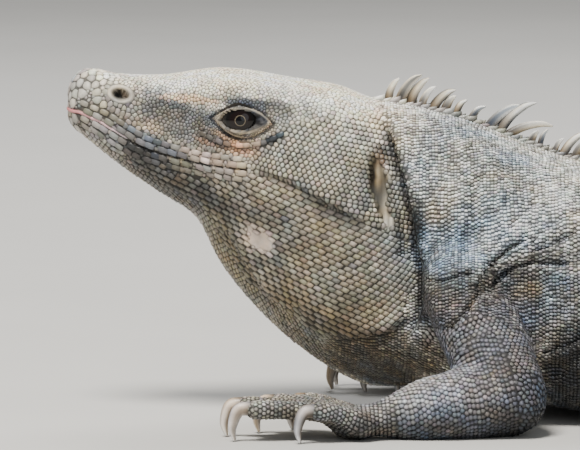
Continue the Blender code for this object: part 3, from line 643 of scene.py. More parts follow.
def shape_skin(mesh):
    """Cuts the face's details into the skin: folds, lips, nostrils, ears and eyelids."""
    points, facing = coordinates(mesh), values(mesh.vertices, "normal", 3)
    x, z = points[:, 0], points[:, 2]
    side = np.where(points[:, 1] > 0, 1.0, -1.0)
    sideways = np.clip(np.abs(facing[:, 1]) * 1.6, 0, 1) * (np.abs(points[:, 1]) > 2)
    fore = (x < FORE_LENGTH + 2) & ((np.abs(points[:, 1]) < FORE_HALF) | (z > 24))
    move = -np.where(x < 100, FACE_DEPTH, SKIN_DEPTH)
    for form in SKIN_FOLDS:
        fade, rise = lay_fold(x, z, form, (5, 0), -0.3)
        move += fade * sideways * fore * rise
    loose = eased_step(x, 97, 104) * (1 - eased_step(x, 160, 190)) * sideways
    wrinkled = points * (1.0, 0.2, 0.42) + np.outer(0.5 * z, (1, 0, 0))
    move += loose * (0.40 * lumps(wrinkled, 9, 31) - 0.55 * np.maximum(lumps(wrinkled, 14, 32), 0))
    streaked = rotated(points, 38) * (1.0, 0.2, 0.30)
    move += 0.16 * loose * lumps(streaked, 4.2, 33)
    away, share = line_distance(LIPS, x, z)
    gap = LIP_GAP * (1 + 0.8 * eased_step(-share, -0.3, 0))
    move -= LIP_DEPTH * bell(away, 0, gap) * sideways * eased_step(x, 0.6, 3) * (x < 51)
    hole = oval(x, z, NOSTRIL)
    ring = 0.55 * bell(hole, 1.3, 0.28) - 2.4 * (1 - eased_step(hole, 0.8, 1.03))
    move += ring * (x < 25) * (np.abs(points[:, 1]) > 4) * (np.abs(facing[:, 1]) > 0.3)
    drum = oval(x, z, EAR)
    hollow = 1.2 - 0.3 * lumps(points * (1, 0.2, 0.15), 2.4, 34)
    move -= sideways * hollow * (1 - eased_step(drum, 0.55, 1.05))
    points += facing * move[:, None]

    eye = rows_of(np.full(len(x), EYE_S), side * EYE_Y, np.full(len(x), EYE_Z))
    away = points - eye
    radius = np.linalg.norm(away, axis=1)
    crease = lid_share(x, z)
    near = (radius < 13) & (crease < 1.35) & (np.abs(facing[:, 1]) > 0.3)
    outside = almond(x, z)
    wanted = np.maximum(radius, LID_R - 0.25 * eased_step(outside, 0.3, 2.0))
    covered = 1 - eased_step(crease, 0.72, 1.02)
    lids = radius + (wanted - radius) * covered - 0.75 * bell(crease, 1.0, 0.08)
    corner = eased_step(np.hypot(x - EYE_S, z - EYE_Z), 5.0, 6.0)
    socket = (EYE_R - 1.1) * (1 - corner) + (lids - 0.7) * corner
    lids = np.where(outside < 0.05, socket, lids)
    factor = np.where(near, lids / np.maximum(radius, 1e-6), 1.0)
    points = eye + away * factor[:, None]
    points[:, 2] = np.maximum(points[:, 2], FLOOR_GAP)
    set_coordinates(mesh, points)


def refine(mesh, chosen):
    """Splits each face whose middle is chosen into four."""
    work = bmesh.new()
    work.from_mesh(mesh)
    middles = np.array([f.calc_center_median() for f in work.faces]) / MM
    keep = chosen(middles)
    edges = {e for f, k in zip(work.faces, keep, strict=True) if k for e in f.edges}
    bmesh.ops.subdivide_edges(work, edges=list(edges), cuts=1, use_grid_fill=True)
    bmesh.ops.triangulate(work, faces=[f for f in work.faces if len(f.verts) > 4])
    work.to_mesh(mesh)
    work.free()


def in_face(p):
    """The head, the throat and the neck's sides, where the skin is finer."""
    side = np.abs(p[:, 1]) < 50
    head = (p[:, 0] < 100) & (p[:, 2] > 46)
    neck = (p[:, 0] > 80) & (p[:, 0] < 150) & (p[:, 2] > 18) & (np.abs(p[:, 1]) > 16)
    throat = (p[:, 0] < 66) & (p[:, 2] > 24)
    return side & (head | neck | throat)


def in_detail(p):
    """The eyelids, the mouth and the nostrils, where it is finer still."""
    x, z = p[:, 0], p[:, 2]
    eye = (lid_share(x, z) < 1.25) & (np.abs(p[:, 1]) > 12)
    mouth = (line_distance(LIPS, x, z)[0] ** 2 < 3.2) & (x < 54) & (np.abs(p[:, 1]) < 26)
    nostril = oval(x, z, NOSTRIL) < 1.9
    return eye | mouth | (nostril & (np.abs(p[:, 1]) > 4))


def make_skin():
    """The whole animal as one closed skin, without claws or spines."""
    made = object_of("skin", mesh_of([body_tube(), *limb_tubes()]))
    fuse = made.modifiers.new("fuse", "REMESH")
    fuse.mode = "VOXEL"
    fuse.voxel_size = VOXEL * MM
    settle(made)
    relax(made.data, 3)
    shape_sides(made.data)
    relax(made.data, 1)
    points = coordinates(made.data)
    rest = ~((points[:, 0] < FORE_LENGTH + 2) & (np.abs(points[:, 1]) < FORE_HALF + 1))
    group = made.vertex_groups.new(name="rest")
    group.add(np.flatnonzero(rest).tolist(), 1.0, "REPLACE")
    thin = made.modifiers.new("thin", "DECIMATE")
    thin.ratio = 1 - (1 - REST_THINNING) * rest.mean()
    thin.vertex_group = group.name
    settle(made)
    refine(made.data, in_face)
    refine(made.data, in_detail)
    relax(made.data, 1, 0.5)
    shape_skin(made.data)
    made.vertex_groups.clear()
    made.data.shade_smooth()
    return made


# ---------------------------------------------------------------- markings
def linear(colour):
    c = np.asarray(colour, float)
    return np.where(c <= 0.04045, c / 12.92, ((np.maximum(c, 0) + 0.055) / 1.055) ** 2.4)


# Colour along the body: s, then the flank's and the back's red, green and blue.
TONES = [
    (0, 0.60, 0.57, 0.52, 0.84, 0.82, 0.78),
    (60, 0.60, 0.57, 0.52, 0.90, 0.88, 0.82),
    (92, 0.58, 0.58, 0.56, 0.88, 0.85, 0.79),
    (100, 0.60, 0.61, 0.61, 0.76, 0.75, 0.72),
    (140, 0.62, 0.62, 0.61, 0.72, 0.72, 0.69),
    (180, 0.52, 0.51, 0.48, 0.62, 0.60, 0.55),
    (405, 0.46, 0.44, 0.39, 0.56, 0.53, 0.46),
    (1105, 0.42, 0.39, 0.33, 0.46, 0.43, 0.36),
]
BELLY = (0.50, 0.46, 0.38)
BAND = (0.20, 0.20, 0.19)
# Painted shade in the creases of the folds, the groove round each nostril and the slit of the mouth.
CREASE_SHADE = (0.13, 0.13, 0.13)
# Painted shade: the darkest lid tone is shade in the creases round the lids and in the slit between them,
# and the corner tone is shade in the eye's rear corner.
LID_TONE, LID_SHADE = (0.62, 0.57, 0.49), (0.10, 0.09, 0.09)
LID_RIM, LID_EDGE, EYE_CORNER_SHADE = (0.74, 0.64, 0.52), (0.17, 0.18, 0.20), (0.30, 0.30, 0.31)
# Colour along the limbs: distance from the root, then red, green and blue.
ARM_TONES = [
    (0, 0.32, 0.31, 0.33), (24, 0.42, 0.42, 0.44), (38, 0.35, 0.35, 0.37), (55, 0.57, 0.58, 0.62),
    (75, 0.68, 0.68, 0.69), (90, 0.63, 0.61, 0.57), (115, 0.90, 0.88, 0.84),
]
HOOD_EDGE = (34, 41)  # heights between which the arm's colour gives way to the neck's
MARKED_LENGTH = 175  # the marks of the fore body have faded out before this s
LEG_TONES = [
    (0, 0.44, 0.42, 0.38), (60, 0.38, 0.37, 0.34), (130, 0.36, 0.34, 0.30), (200, 0.44, 0.41, 0.35),
]

# Markings on both sides of the head, throat and neck: s, height, half length, half height,
# slope in degrees, colour and strength. Some rows are partly painted light and painted shade, as the
# comments above them say.
MARKS = [
    # The head's cream top, made lighter still by painted light falling from above: the next two rows.
    (34, 97, 50, 5.0, 0, (1.0, 0.955, 0.86), 1.0),
    (74, 94, 16, 6.0, -8, (0.99, 0.93, 0.83), 0.9),
    (3, 92.6, 5, 6, 0, (0.78, 0.76, 0.72), 0.8),
    (14.8, 90.6, 4.6, 3.8, -12, (0.80, 0.78, 0.73), 0.9),
    (15.1, 90.1, 2.35, 1.5, -12, (0.03, 0.03, 0.03), 1.0),
    (16.3, 89.5, 0.9, 0.7, -12, (0.50, 0.45, 0.40), 0.9),
    (22, 88.2, 6, 4, -20, (0.68, 0.63, 0.56), 0.7),
    (30, 83.6, 11, 5.2, -26, (0.38, 0.37, 0.355), 1.0),
    (40, 80.8, 7, 4.6, -20, (0.37, 0.37, 0.36), 0.9),
    (21, 82.6, 6, 2.2, -24, (0.60, 0.54, 0.46), 0.7),
    (33.5, 89.2, 8, 1.2, -3, (0.92, 0.78, 0.64), 0.95),
    # The dark grey above and behind the eye, deepened by painted shade under the brow ridge: the next two
    # rows.
    (52.5, 88.0, 9.0, 1.6, -7, (0.27, 0.28, 0.29), 1.0),
    (59, 86.2, 5.5, 3, -28, (0.34, 0.34, 0.34), 0.8),
    (48.4, 78.7, 10, 2.2, -8, (0.72, 0.58, 0.45), 0.9),
    (47, 76.1, 11, 1.8, -14, (0.71, 0.54, 0.43), 0.9),
    (40, 78.8, 5, 1.6, -24, (0.34, 0.34, 0.34), 0.8),
    (24, 77.2, 14, 1.9, -24, (0.38, 0.39, 0.41), 0.85),
    (41, 72.1, 10, 1.7, -18, (0.74, 0.67, 0.63), 0.8),
    (23, 72.8, 11, 2.2, -26, (0.20, 0.21, 0.24), 0.95),
    (9, 78.4, 6, 2.6, -32, (0.54, 0.53, 0.52), 0.8),
    (34, 63.6, 20, 5.4, -26, (0.31, 0.295, 0.27), 0.95),
    (68, 74.5, 16, 11, -14, (0.70, 0.68, 0.62), 1.0),
    (57.4, 78.9, 3.0, 1.3, 24, (0.19, 0.22, 0.26), 1.0),
    (74, 59.6, 13, 1.8, -32, (0.44, 0.42, 0.38), 0.8),
    (68, 56.5, 14, 2.2, -30, (0.66, 0.63, 0.55), 0.7),
    (62, 49.1, 18, 6, -24, (0.50, 0.49, 0.46), 0.9),
    (75, 38.1, 18, 12, -25, (0.57, 0.535, 0.46), 0.9),
    (53.5, 50.2, 5.4, 4.0, -40, (0.92, 0.84, 0.77), 0.95),
    (46, 44.8, 4, 16, 28, (0.47, 0.44, 0.36), 0.9),
    # The darker brown of the lower throat pouch, deepened by painted shade under it: the next two rows.
    (84, 18.4, 24, 8, -6, (0.36, 0.33, 0.28), 1.0),
    (86, 13.5, 14, 5, -20, (0.20, 0.19, 0.17), 0.9),
    (66, 25.9, 14, 5, -38, (0.44, 0.41, 0.34), 0.9),
    (87.3, 64.6, 3.4, 10.5, 8, (0.42, 0.385, 0.32), 0.95),
    (85.2, 66.5, 0.9, 7, 8, (0.18, 0.17, 0.15), 0.9),
    (87, 73.8, 2.4, 3, 8, (0.26, 0.22, 0.18), 0.8),
    (83.6, 57.0, 2, 3, 0, (0.74, 0.68, 0.58), 0.7),
    (84, 86.6, 7, 4.4, -20, (1.0, 0.93, 0.83), 0.9),
    # Painted shade in the hollow behind the fold at the back of the throat pouch.
    (98.2, 52.8, 1.6, 12, 8, (0.16, 0.19, 0.21), 1.0),
    (94.6, 52.7, 1.6, 14, 8, (0.66, 0.62, 0.54), 0.8),
    (92.4, 52.6, 1.4, 8, 6, (0.26, 0.26, 0.25), 0.8),
    (110, 74.5, 19, 8, -12, (0.55, 0.565, 0.565), 0.85),
    (112, 63.2, 18, 10, -10, (0.60, 0.62, 0.62), 0.8),
    (104, 60.9, 6, 4, 60, (0.68, 0.64, 0.58), 0.6),
    (109, 49.8, 14, 7.5, 12, (0.47, 0.52, 0.57), 1.0),
    (126, 56, 14, 6, 30, (0.76, 0.80, 0.84), 0.9),
    (107, 36.1, 10, 7, 30, (0.29, 0.315, 0.33), 0.9),
    (129, 38, 15, 7, 6, (0.33, 0.34, 0.35), 0.9),
    (122, 31.7, 13, 10, 20, (0.28, 0.28, 0.28), 0.95),
    (127, 37.5, 5.0, 2.8, 20, (0.56, 0.50, 0.41), 0.8),
    (134, 38.1, 2.2, 8, -20, (0.48, 0.51, 0.53), 0.7),
    # The first dark band of the flank, deepened by painted shadow behind the arm.
    (145, 15, 14, 17, 0, (0.14, 0.14, 0.14), 1.0),
]


def body_place(points):
    """The s and the distance from the midline of points beside the body's line."""
    s, aside = points[:, 0].copy(), points[:, 1].copy()
    for _ in range(4):
        turn = np.interp(s, PATH_S, PATH_TURN)
        off_x = points[:, 0] - np.interp(s, PATH_S, PATH_X)
        off_y = points[:, 1] - np.interp(s, PATH_S, PATH_Y)
        s = s + off_x * np.cos(turn) + off_y * np.sin(turn)
        aside = off_y * np.cos(turn) - off_x * np.sin(turn)
    return s, aside


def limb_lines():
    """For each limb its kind and its line from the root to the longest digit."""
    for side in (LEFT, RIGHT):
        for kind, (limb, _, _, table, palm) in LIMBS.items():
            root, middle, end = chain(side, limb)
            digits = digit_layout(side, end, limb[side]["turn"], table, palm)
            yield kind, np.array([root, middle, end, digits[2][0][0], digits[2][0][-1]])


def nearest_on(line, points):
    """Distance of points from a line in space, and how far along it the nearest place is."""
    best, along, run = np.full(len(points), 1e9), np.zeros(len(points)), 0.0
    for p, q in zip(line[:-1], line[1:], strict=True):
        length = np.linalg.norm(q - p)
        t = np.clip((points - p) @ (q - p) / length**2, 0, 1)
        distance = np.linalg.norm(points - p - t[:, None] * (q - p), axis=1)
        along = np.where(distance < best, run + t * length, along)
        best = np.minimum(best, distance)
        run += length
    return best, along


def lumps(points, size, seed):
    """Smooth, soft-edged noise about 0 over space, with features about size across."""
    random = np.random.default_rng(seed)
    total = np.zeros(len(points))
    for k in range(9):
        way = unit(random.normal(size=3)) * 2 * math.pi / (size * (0.7 + 0.2 * k))
        total += np.sin(points @ way + random.uniform(0, 6.3))
    return total / 3.0


def blend(colour, tone, share):
    """Colours moved the given share of the way to a tone."""
    share = share[:, None]
    return colour * (1 - share) + np.array(tone) * share


def ground_colour(points, s, height):
    """The flank's, back's and belly's colours, with the dark bands across the trunk and tail.
    height is 0 under the body and 1 on its midline above."""
    tones = eased(TONES, s)
    colour = blend(tones[:, :3], tones[:, 3:], eased_step(height, 0.62, 0.97))
    colour = blend(colour, BELLY, eased_step(-height, -0.3, -0.02) * eased_step(s, 120, 170))
    wave = s / 34 + 0.25 * np.sin(s / 21) + 0.10 * lumps(points, 40, 3)
    dark = eased_step(np.sin(wave * 2 * math.pi), 0.1, 0.75)
    dark = dark * eased_step(s, 140, 175) * (1 - eased_step(s, 395, 410))
    wave = 8.5 * np.log1p(np.maximum(s - 380, 0) / 260)
    dark = dark + eased_step(np.sin(wave * 2 * math.pi), -0.25, 0.3) * eased_step(s, 400, 420)
    return blend(colour, BAND, 0.78 * dark * eased_step(height, 0.0, 0.55))


def mark_head(colour, s, z, beside):
    """The markings of the fore body, then the eyelids with painted shade in their creases, and painted
    shade along the line of the lips.
    """
    for *form, tone, strength in MARKS:
        share = strength * (1 - eased_step(oval(s, z, form), 0.55, 1.35)) * beside
        colour = blend(colour, tone, share)
    lids = beside & (s > 36) & (s < 62) & (z > 74)
    crease, outside = lid_share(s, z), almond(s, z)
    # The lid tone and the pale rim are the lids' own colours. The dark lines in the creases and the slit,
    # and the dark rear corner, are painted shade.
    for share, tone in (
        (1 - eased_step(crease, 0.90, 1.0), LID_TONE),
        (0.45 * (z < 84) * bell(crease, 0.9, 0.06), LID_RIM),
        (0.9 * (1 - eased_step(outside, 0.25, 0.85)), LID_EDGE),
        (0.95 * bell(crease, 1.0, 0.055), LID_SHADE),
        (0.6 * bell(crease, 0.76, 0.04) * (z < 84), LID_SHADE),
        (1 - eased_step(outside, 0.05, 0.3), LID_SHADE),
        (0.8 * (1 - eased_step(outside, -0.5, 0)) * (s > EYE_S + 5), EYE_CORNER_SHADE),
    ):
        colour = blend(colour, tone, share * lids)
    # Painted shade in the slit of the mouth, along the line of the lips.
    front = np.flatnonzero(beside & (s > 1) & (s < 52) & (z > 60))
    away, _ = line_distance(LIPS, s[front], z[front])
    colour[front] = blend(colour[front], CREASE_SHADE, 0.75 * bell(away, 0, 0.32))
    return colour


def mark_limbs(colour, points, outside):
    """The limbs' colours, darker near the floor as painted shade. outside is the distance from the midline
    as a share of the body's half width."""
    z = points[:, 2]
    for kind, line in limb_lines():
        distance, along = nearest_on(line, points)
        reach = 30 if kind == "arm" else 34
        share = (1 - eased_step(distance, 15, reach * 0.6)) * eased_step(outside, 0.86, 1.05)
        share = np.maximum(share, (distance < 24) * (along > 60))
        share = share * (1 - eased_step(z, *HOOD_EDGE) * (kind == "arm"))
        tone = eased(ARM_TONES if kind == "arm" else LEG_TONES, along)
        bands = eased_step(np.sin(along / 3.6 + lumps(points, 20, 7)), 0.0, 0.8)
        tone = blend(tone, BAND, 0.35 * bands * (kind == "leg"))
        # Painted shade: darker low down and under the limb, towards the floor.
        tone = tone * (0.48 + 0.52 * eased_step(z + 0.25 * distance, 4, 17))[:, None]
        colour = blend(colour, tone, share)
    return colour


def mark_folds(colour, points, s, beside):
    """Painted shade in the creases along the folds and round the nostril's rim, and the eardrum's ridges.
    """
    z = points[:, 2]
    near = np.flatnonzero(beside & (s > 36) & (z < 90))
    # Painted shade on the side of each fold where the skin drops away.
    for line, drop, width, _ in SKIN_FOLDS:
        away, along = line_distance(line, s[near], z[near])
        share = np.minimum(abs(drop) * 0.42, 0.8) * bell(away * np.sign(drop) / width, 0.15, 0.36)
        share = share * np.clip(np.minimum(along, 1 - along) * 6, 0, 1)
        colour[near] = blend(colour[near], CREASE_SHADE, share)
    # Painted shade in the groove round the nostril's rim.
    rim = 0.65 * bell(oval(s, z, NOSTRIL), 1.66, 0.13) * (beside & (s < 24))
    colour = blend(colour, CREASE_SHADE, rim)
    drum = np.flatnonzero(beside & (oval(s, z, EAR) < 1.1))
    ridges = lumps(points[drum] * (1.0, 0.3, 0.14), 1.7, 17)
    colour[drum] = colour[drum] * np.clip(1.08 + 0.42 * ridges, 0.35, 1.6)[:, None]
    return colour


def markings(points):
    """The skin's colour, in linear light, at points of the surface."""
    s, aside = body_place(points)
    row = eased(section_table(), s)
    top, bottom = row[:, 0], row[:, 1]
    beside = (s < MARKED_LENGTH) & (np.abs(aside) > 1)
    colour = ground_colour(points, s, np.clip((points[:, 2] - bottom) / (top - bottom), 0, 1))
    colour = mark_head(colour, s, points[:, 2], beside)
    colour = mark_limbs(colour, points, np.abs(aside) / np.maximum(np.abs(row[:, 6]), 1))
    colour = mark_folds(colour, points, s, beside)
    streak = lumps(rotated(points, -16) * (0.35, 0.5, 1.0), 2.4, 14) * (s < 100)
    blotch = 0.06 * lumps(points, 15, 11) + 0.06 * lumps(points, 5, 12)
    blotch = blotch + 0.05 * lumps(points, 2.6, 15) + 0.05 * streak
    warm = 0.016 * lumps(points, 11, 13) + 0.014 * lumps(points, 3.2, 16)
    colour = colour * (1 + blotch)[:, None] + warm[:, None] * np.array((1, 0.2, -0.9))
    return linear(np.clip(colour, 0.02, 0.97))


# ---------------------------------------------------------------- scales
PATCH = 0.0015  # half the width of a scale's own patch on the unwrap
RANDOM = np.random.default_rng(20)

# Kinds of scale: the base ring and the upper ring as (share of the width, share of the height),
# height over width, how much the rear edge stands up, the keel, the shading of the two rings and
# the peak, and how much the tone varies from scale to scale. The shading is painted light: the dark
# base ring is partly the dark skin between the scales and partly painted shade there, and the
# bright peak is a painted highlight.
Kind = namedtuple("Kind", "rings height tilt keel shade vary")
KINDS = {
    "bead": Kind(((1.0, -0.2), (0.76, 0.6)), 0.36, 0.3, 0.0, (0.02, 0.80, 1.80), 0.44),
    "filler": Kind(((1.0, -0.2), (0.76, 0.6)), 0.20, 0.3, 0.0, (0.02, 0.55, 0.95), 0.20),
    "plate": Kind(((1.0, -0.1), (0.84, 0.9)), 0.12, 0.3, 0.0, (0.25, 0.95, 1.14), 0.17),
    "lip": Kind(((1.0, -0.1), (0.86, 0.9)), 0.13, 0.2, 0.0, (0.12, 0.90, 1.10), 0.24),
    "gular": Kind(((1.0, -0.1), (0.90, 0.8)), 0.14, 1.2, 0.0, (0.02, 0.84, 1.24), 0.16),
    "cheek": Kind(((1.0, -0.1), (0.82, 0.8)), 0.20, 1.0, 0.3, (0.10, 0.80, 1.22), 0.16),
    "leaf": Kind(((1.0, -0.2), (0.84, 0.8)), 0.17, 1.1, 0.4, (0.02, 0.68, 1.65), 0.22),
    "crest": Kind(((1.0, -0.3), (0.92, 0.8)), 0.42, 1.5, 0.5, (0.05, 0.62, 1.35), 0.22),
    "spiny": Kind(((0.84, -0.3), (1.05, 0.7)), 0.30, 1.3, 0.6, (0.25, 0.70, 1.30), 0.15),
}

# Where each part's scales lie on the unwrap: left, bottom, width and height of its island. A
# scale's root lies across its island by its share of the part's length, and up by its turn.
ISLANDS = {
    "fore": (0.01, 0.30, 0.50, 0.69), "trunk": (0.53, 0.30, 0.46, 0.45), "tail": (0.53, 0.77, 0.46, 0.22),
    "arm_left": (0.01, 0.01, 0.23, 0.27), "arm_right": (0.26, 0.01, 0.23, 0.27),
    "leg_left": (0.51, 0.01, 0.23, 0.27), "leg_right": (0.76, 0.01, 0.23, 0.27),
}


class Surface:
    """The finished skin, with what is needed to set scales on it."""

    def __init__(self, mesh):
        self.points = coordinates(mesh)
        mesh.calc_loop_triangles()
        self.faces = values(mesh.loop_triangles, "vertices", 3, np.int64)
        self.facing = values(mesh.vertices, "normal", 3)[self.faces].mean(1)
        self.facing /= np.linalg.norm(self.facing, axis=1, keepdims=True)
        self.tree = BVHTree.FromPolygons(self.points.tolist(), self.faces.tolist(), all_triangles=True)

    def cast(self, origins, ways, reach):
        """Where rays first meet the skin, as (found, points, normals)."""
        found = np.zeros(len(origins), bool)
        hits, face = np.zeros((len(origins), 3)), np.zeros(len(origins), int)
        for i, (origin, way) in enumerate(zip(origins.tolist(), ways.tolist(), strict=True)):
            hit, _, index, _ = self.tree.ray_cast(origin, way, reach)
            if hit is not None:
                found[i], hits[i], face[i] = True, hit, index
        return found, hits, self.facing[face]

    def snap(self, points):
        """The nearest places on the skin and their normals."""
        hits, face = np.zeros((len(points), 3)), np.zeros(len(points), int)
        for i, point in enumerate(points.tolist()):
            hit, _, index, _ = self.tree.find_nearest(point)
            hits[i], face[i] = hit, index
        return hits, self.facing[face]


def field_of(points, facing, lie, long, wide, at, turn):
    """Scales as a dict of arrays: their places, normals, the way they lie, their lengths and
    widths, and their shares of the part's length and of a turn round it."""
    ones = np.ones(len(points))
    return {
        "p": points, "n": facing, "lie": np.broadcast_to(lie, points.shape),
        "long": long * ones, "wide": wide * ones, "at": at * ones, "turn": turn * ones,
    }


def turn_of(p):
    """Share of a turn round the head's and throat's middle."""
    return (np.arctan2(p[:, 1], p[:, 2] - 50) / (2 * math.pi)) % 1


def fan(turn, ahead, aside):
    """Directions at angles from ahead towards aside."""
    return np.outer(np.cos(turn), ahead) + np.outer(np.sin(turn), aside)


def places_among(count, ask):
    """Where the asked numbers lie among running counts: the index before and the share beyond."""
    k = np.clip(np.searchsorted(count, ask, side="right") - 1, 0, len(count) - 2)
    t = np.clip((ask - count[k]) / np.maximum(count[k + 1] - count[k], 1e-9), 0, 1)
    return k, t[:, None]


def ring_lattice(skin, stations, rays):
    """Scales in staggered rings, in the places where rays out of each station's centre meet the
    skin. A station is (centre, along, up, reach, spacing, pitch, share of the length), and pitch
    may be a function of points."""
    fields, number = [], 0
    turn = np.arange(rays) * 2 * math.pi / rays
    for i, (centre, along, up, reach, spacing, pitch, share) in enumerate(stations):
        along = unit(np.array(along, float))
        up = unit(np.array(up, float) - along * (along @ np.array(up, float)))
        ways = fan(turn, up, np.cross(along, up))
        found, hits, facing = skin.cast(np.repeat(np.array([centre], float), rays, 0), ways, reach)
        near = np.roll(found, -1) & found
        widths = pitch(hits) if callable(pitch) else np.full(rays, float(pitch))
        steps = np.linalg.norm(np.roll(hits, -1, 0) - hits, axis=1)
        steps = np.where(near & (steps < 0.5 * reach), steps, 1e-6)
        count = running(steps / (0.5 * (widths + np.roll(widths, -1))))
        if abs(count[-1] - number) > max(0.06 * number, 1.0):
            number = max(int(round(count[-1])), 3)
        ask = np.arange(number) + 0.5 * (i % 2) + 0.06 * RANDOM.normal(size=number)
        ask = ask % number * count[-1] / number
        k, t = places_among(count, ask)
        after = (k + 1) % rays
        good = near[k] & (steps[k] > 1e-5)
        k, t, after = k[good], t[good], after[good]
        normal = facing[k] * (1 - t) + facing[after] * t
        normal /= np.linalg.norm(normal, axis=1, keepdims=True)
        jitter = 0.045 * spacing * RANDOM.normal(size=(len(k), 3))
        slant = np.maximum(np.sqrt(1 - np.clip((normal @ along) ** 2, 0, 0.9)), 0.7)
        points = hits[k] * (1 - t) + hits[after] * t + jitter
        round_share = turn[k] / (2 * math.pi)
        fields.append(field_of(points, normal, along, spacing / slant, widths[k], share, round_share))
    return join(fields)


def pick(field, keep):
    return {name: value[keep] for name, value in field.items()}


def join(fields):
    return {name: np.concatenate([f[name] for f in fields]) for name in fields[0]}


def size_of(field):
    """The mean of each scale's length and width."""
    return np.sqrt(field["long"] * field["wide"])


def tree_of(points):
    tree = KDTree(len(points))
    for i, p in enumerate(points.tolist()):
        tree.insert(p, i)
    tree.balance()
    return tree


def nearest_scale(fields, points):
    """The size of the scale nearest to each point, and its distance."""
    theirs = join(fields)
    tree = tree_of(theirs["p"])
    found = [tree.find(p)[1:] for p in points.tolist()]
    index, distance = (np.array(column) for column in zip(*found, strict=True))
    return size_of(theirs)[index], distance


def clear_of(field, others, share=0.62):
    """The scales of a field that are no nearer to those of the other fields than the given
    share of their mean size."""
    size, distance = nearest_scale(others, field["p"])
    return pick(field, distance > share * 0.5 * (size + size_of(field)))


def scattered(skin, chosen, pitch, lie, tries, rounds=5, seed=5):
    """Scales spread evenly over the chosen part of the skin, in no rows: tries is how many places
    are tried, and rounds how often they move apart. chosen and pitch are functions of points."""
    random = np.random.default_rng(seed)
    part = np.flatnonzero(chosen(skin.points[skin.faces].mean(1)))
    a, b, c = (skin.points[skin.faces[part, k]] for k in range(3))
    area = np.linalg.norm(np.cross(b - a, c - a), axis=1) / pitch((a + b + c) / 3) ** 2
    face = random.choice(len(part), tries, p=area / area.sum())
    u, v = random.random((2, tries))
    u, v = np.where(u + v > 1, 1 - u, u)[:, None], np.where(u + v > 1, 1 - v, v)[:, None]
    points = a[face] + u * (b[face] - a[face]) + v * (c[face] - a[face])
    gap = 0.80 * pitch(points)
    cell = gap.max()
    grid, taken = {}, []
    for i, (p, r) in enumerate(zip(points.tolist(), gap.tolist(), strict=True)):
        x, y, z = (int(math.floor(q / cell)) for q in p)
        clear = True
        for key in ((x + j, y + k, z + m) for j in (-1, 0, 1) for k in (-1, 0, 1) for m in (-1, 0, 1)):
            for q in grid.get(key, ()):
                if (p[0] - q[0]) ** 2 + (p[1] - q[1]) ** 2 + (p[2] - q[2]) ** 2 < r * r:
                    clear = False
                    break
            if not clear:
                break
        if clear:
            grid.setdefault((x, y, z), []).append(p)
            taken.append(i)
    points = points[taken]
    for _ in range(rounds):
        near = neighbours(points, 7)
        off = points[near] - points[:, None]
        distance = np.linalg.norm(off, axis=2)
        wanted = pitch(points)[:, None]
        push = -(off / np.maximum(distance, 1e-6)[..., None]) * np.maximum(wanted - distance, 0)[..., None]
        points = skin.snap(points + 0.35 * push.sum(1))[0]
    points, facing = skin.snap(points)
    size = pitch(points)
    return field_of(points, facing, lie, size, size, points[:, 0] / FORE_LENGTH, turn_of(points))


def neighbours(points, count, first=None):
    """Indices of the nearest other points of each of the points, or of the first of them."""
    tree = tree_of(points)
    first = len(points) if first is None else first
    found = np.zeros((first, count), int)
    for i, p in enumerate(points[:first].tolist()):
        found[i] = [index for _, index, _ in tree.find_n(p, count + 1)][1:]
    return found


def frames(field):
    """Unit normal, lie and cross directions of each scale."""
    normal = field["n"] / np.linalg.norm(field["n"], axis=1, keepdims=True)
    lie = field["lie"] - normal * (field["lie"] * normal).sum(1, keepdims=True)
    lie /= np.maximum(np.linalg.norm(lie, axis=1, keepdims=True), 1e-6)
    return normal, lie, np.cross(normal, lie)


def outline(field, power, count=8, fill=(1.0, 1.0), skew=0.0):
    """Corners round each scale as distances along its lie and across it: an oval at power 2, a
    lozenge nearer 1, a brick from 4 up. fill is its size over that of its place, and skew leans
    its sides."""
    turn = np.arange(count) * 2 * math.pi / count
    c, d = np.cos(turn), np.sin(turn)
    reach = (np.abs(c) ** power + np.abs(d) ** power) ** (-1 / power)
    along = np.outer(field["long"] * 0.5 * fill[0], c * reach)
    across = np.outer(field["wide"] * 0.5 * fill[1], d * reach)
    return along + skew * across, across


def cells(field, count, gap, others=()):
    """Corners of each scale where it meets its neighbours, and those of the other fields,
    halfway with a small gap between."""
    _, lie, cross = frames(field)
    every = np.concatenate([field["p"], *(other["p"] for other in others)])
    near = neighbours(every, 9, len(field["p"]))
    off = every[near] - field["p"][:, None]
    u, v = (off * lie[:, None]).sum(2), (off * cross[:, None]).sum(2)
    turn = np.arange(count) * 2 * math.pi / count
    toward = u[..., None] * np.cos(turn) + v[..., None] * np.sin(turn)
    half = (u**2 + v**2)[..., None] / 2
    radii = np.where(toward > 1e-6, half / np.maximum(toward, 1e-6), 1e3).min(1)
    size = size_of(field)[:, None]
    radii = np.maximum(np.minimum(radii, 0.8 * size) - gap, 0.2 * size)
    return radii * np.cos(turn), radii * np.sin(turn)


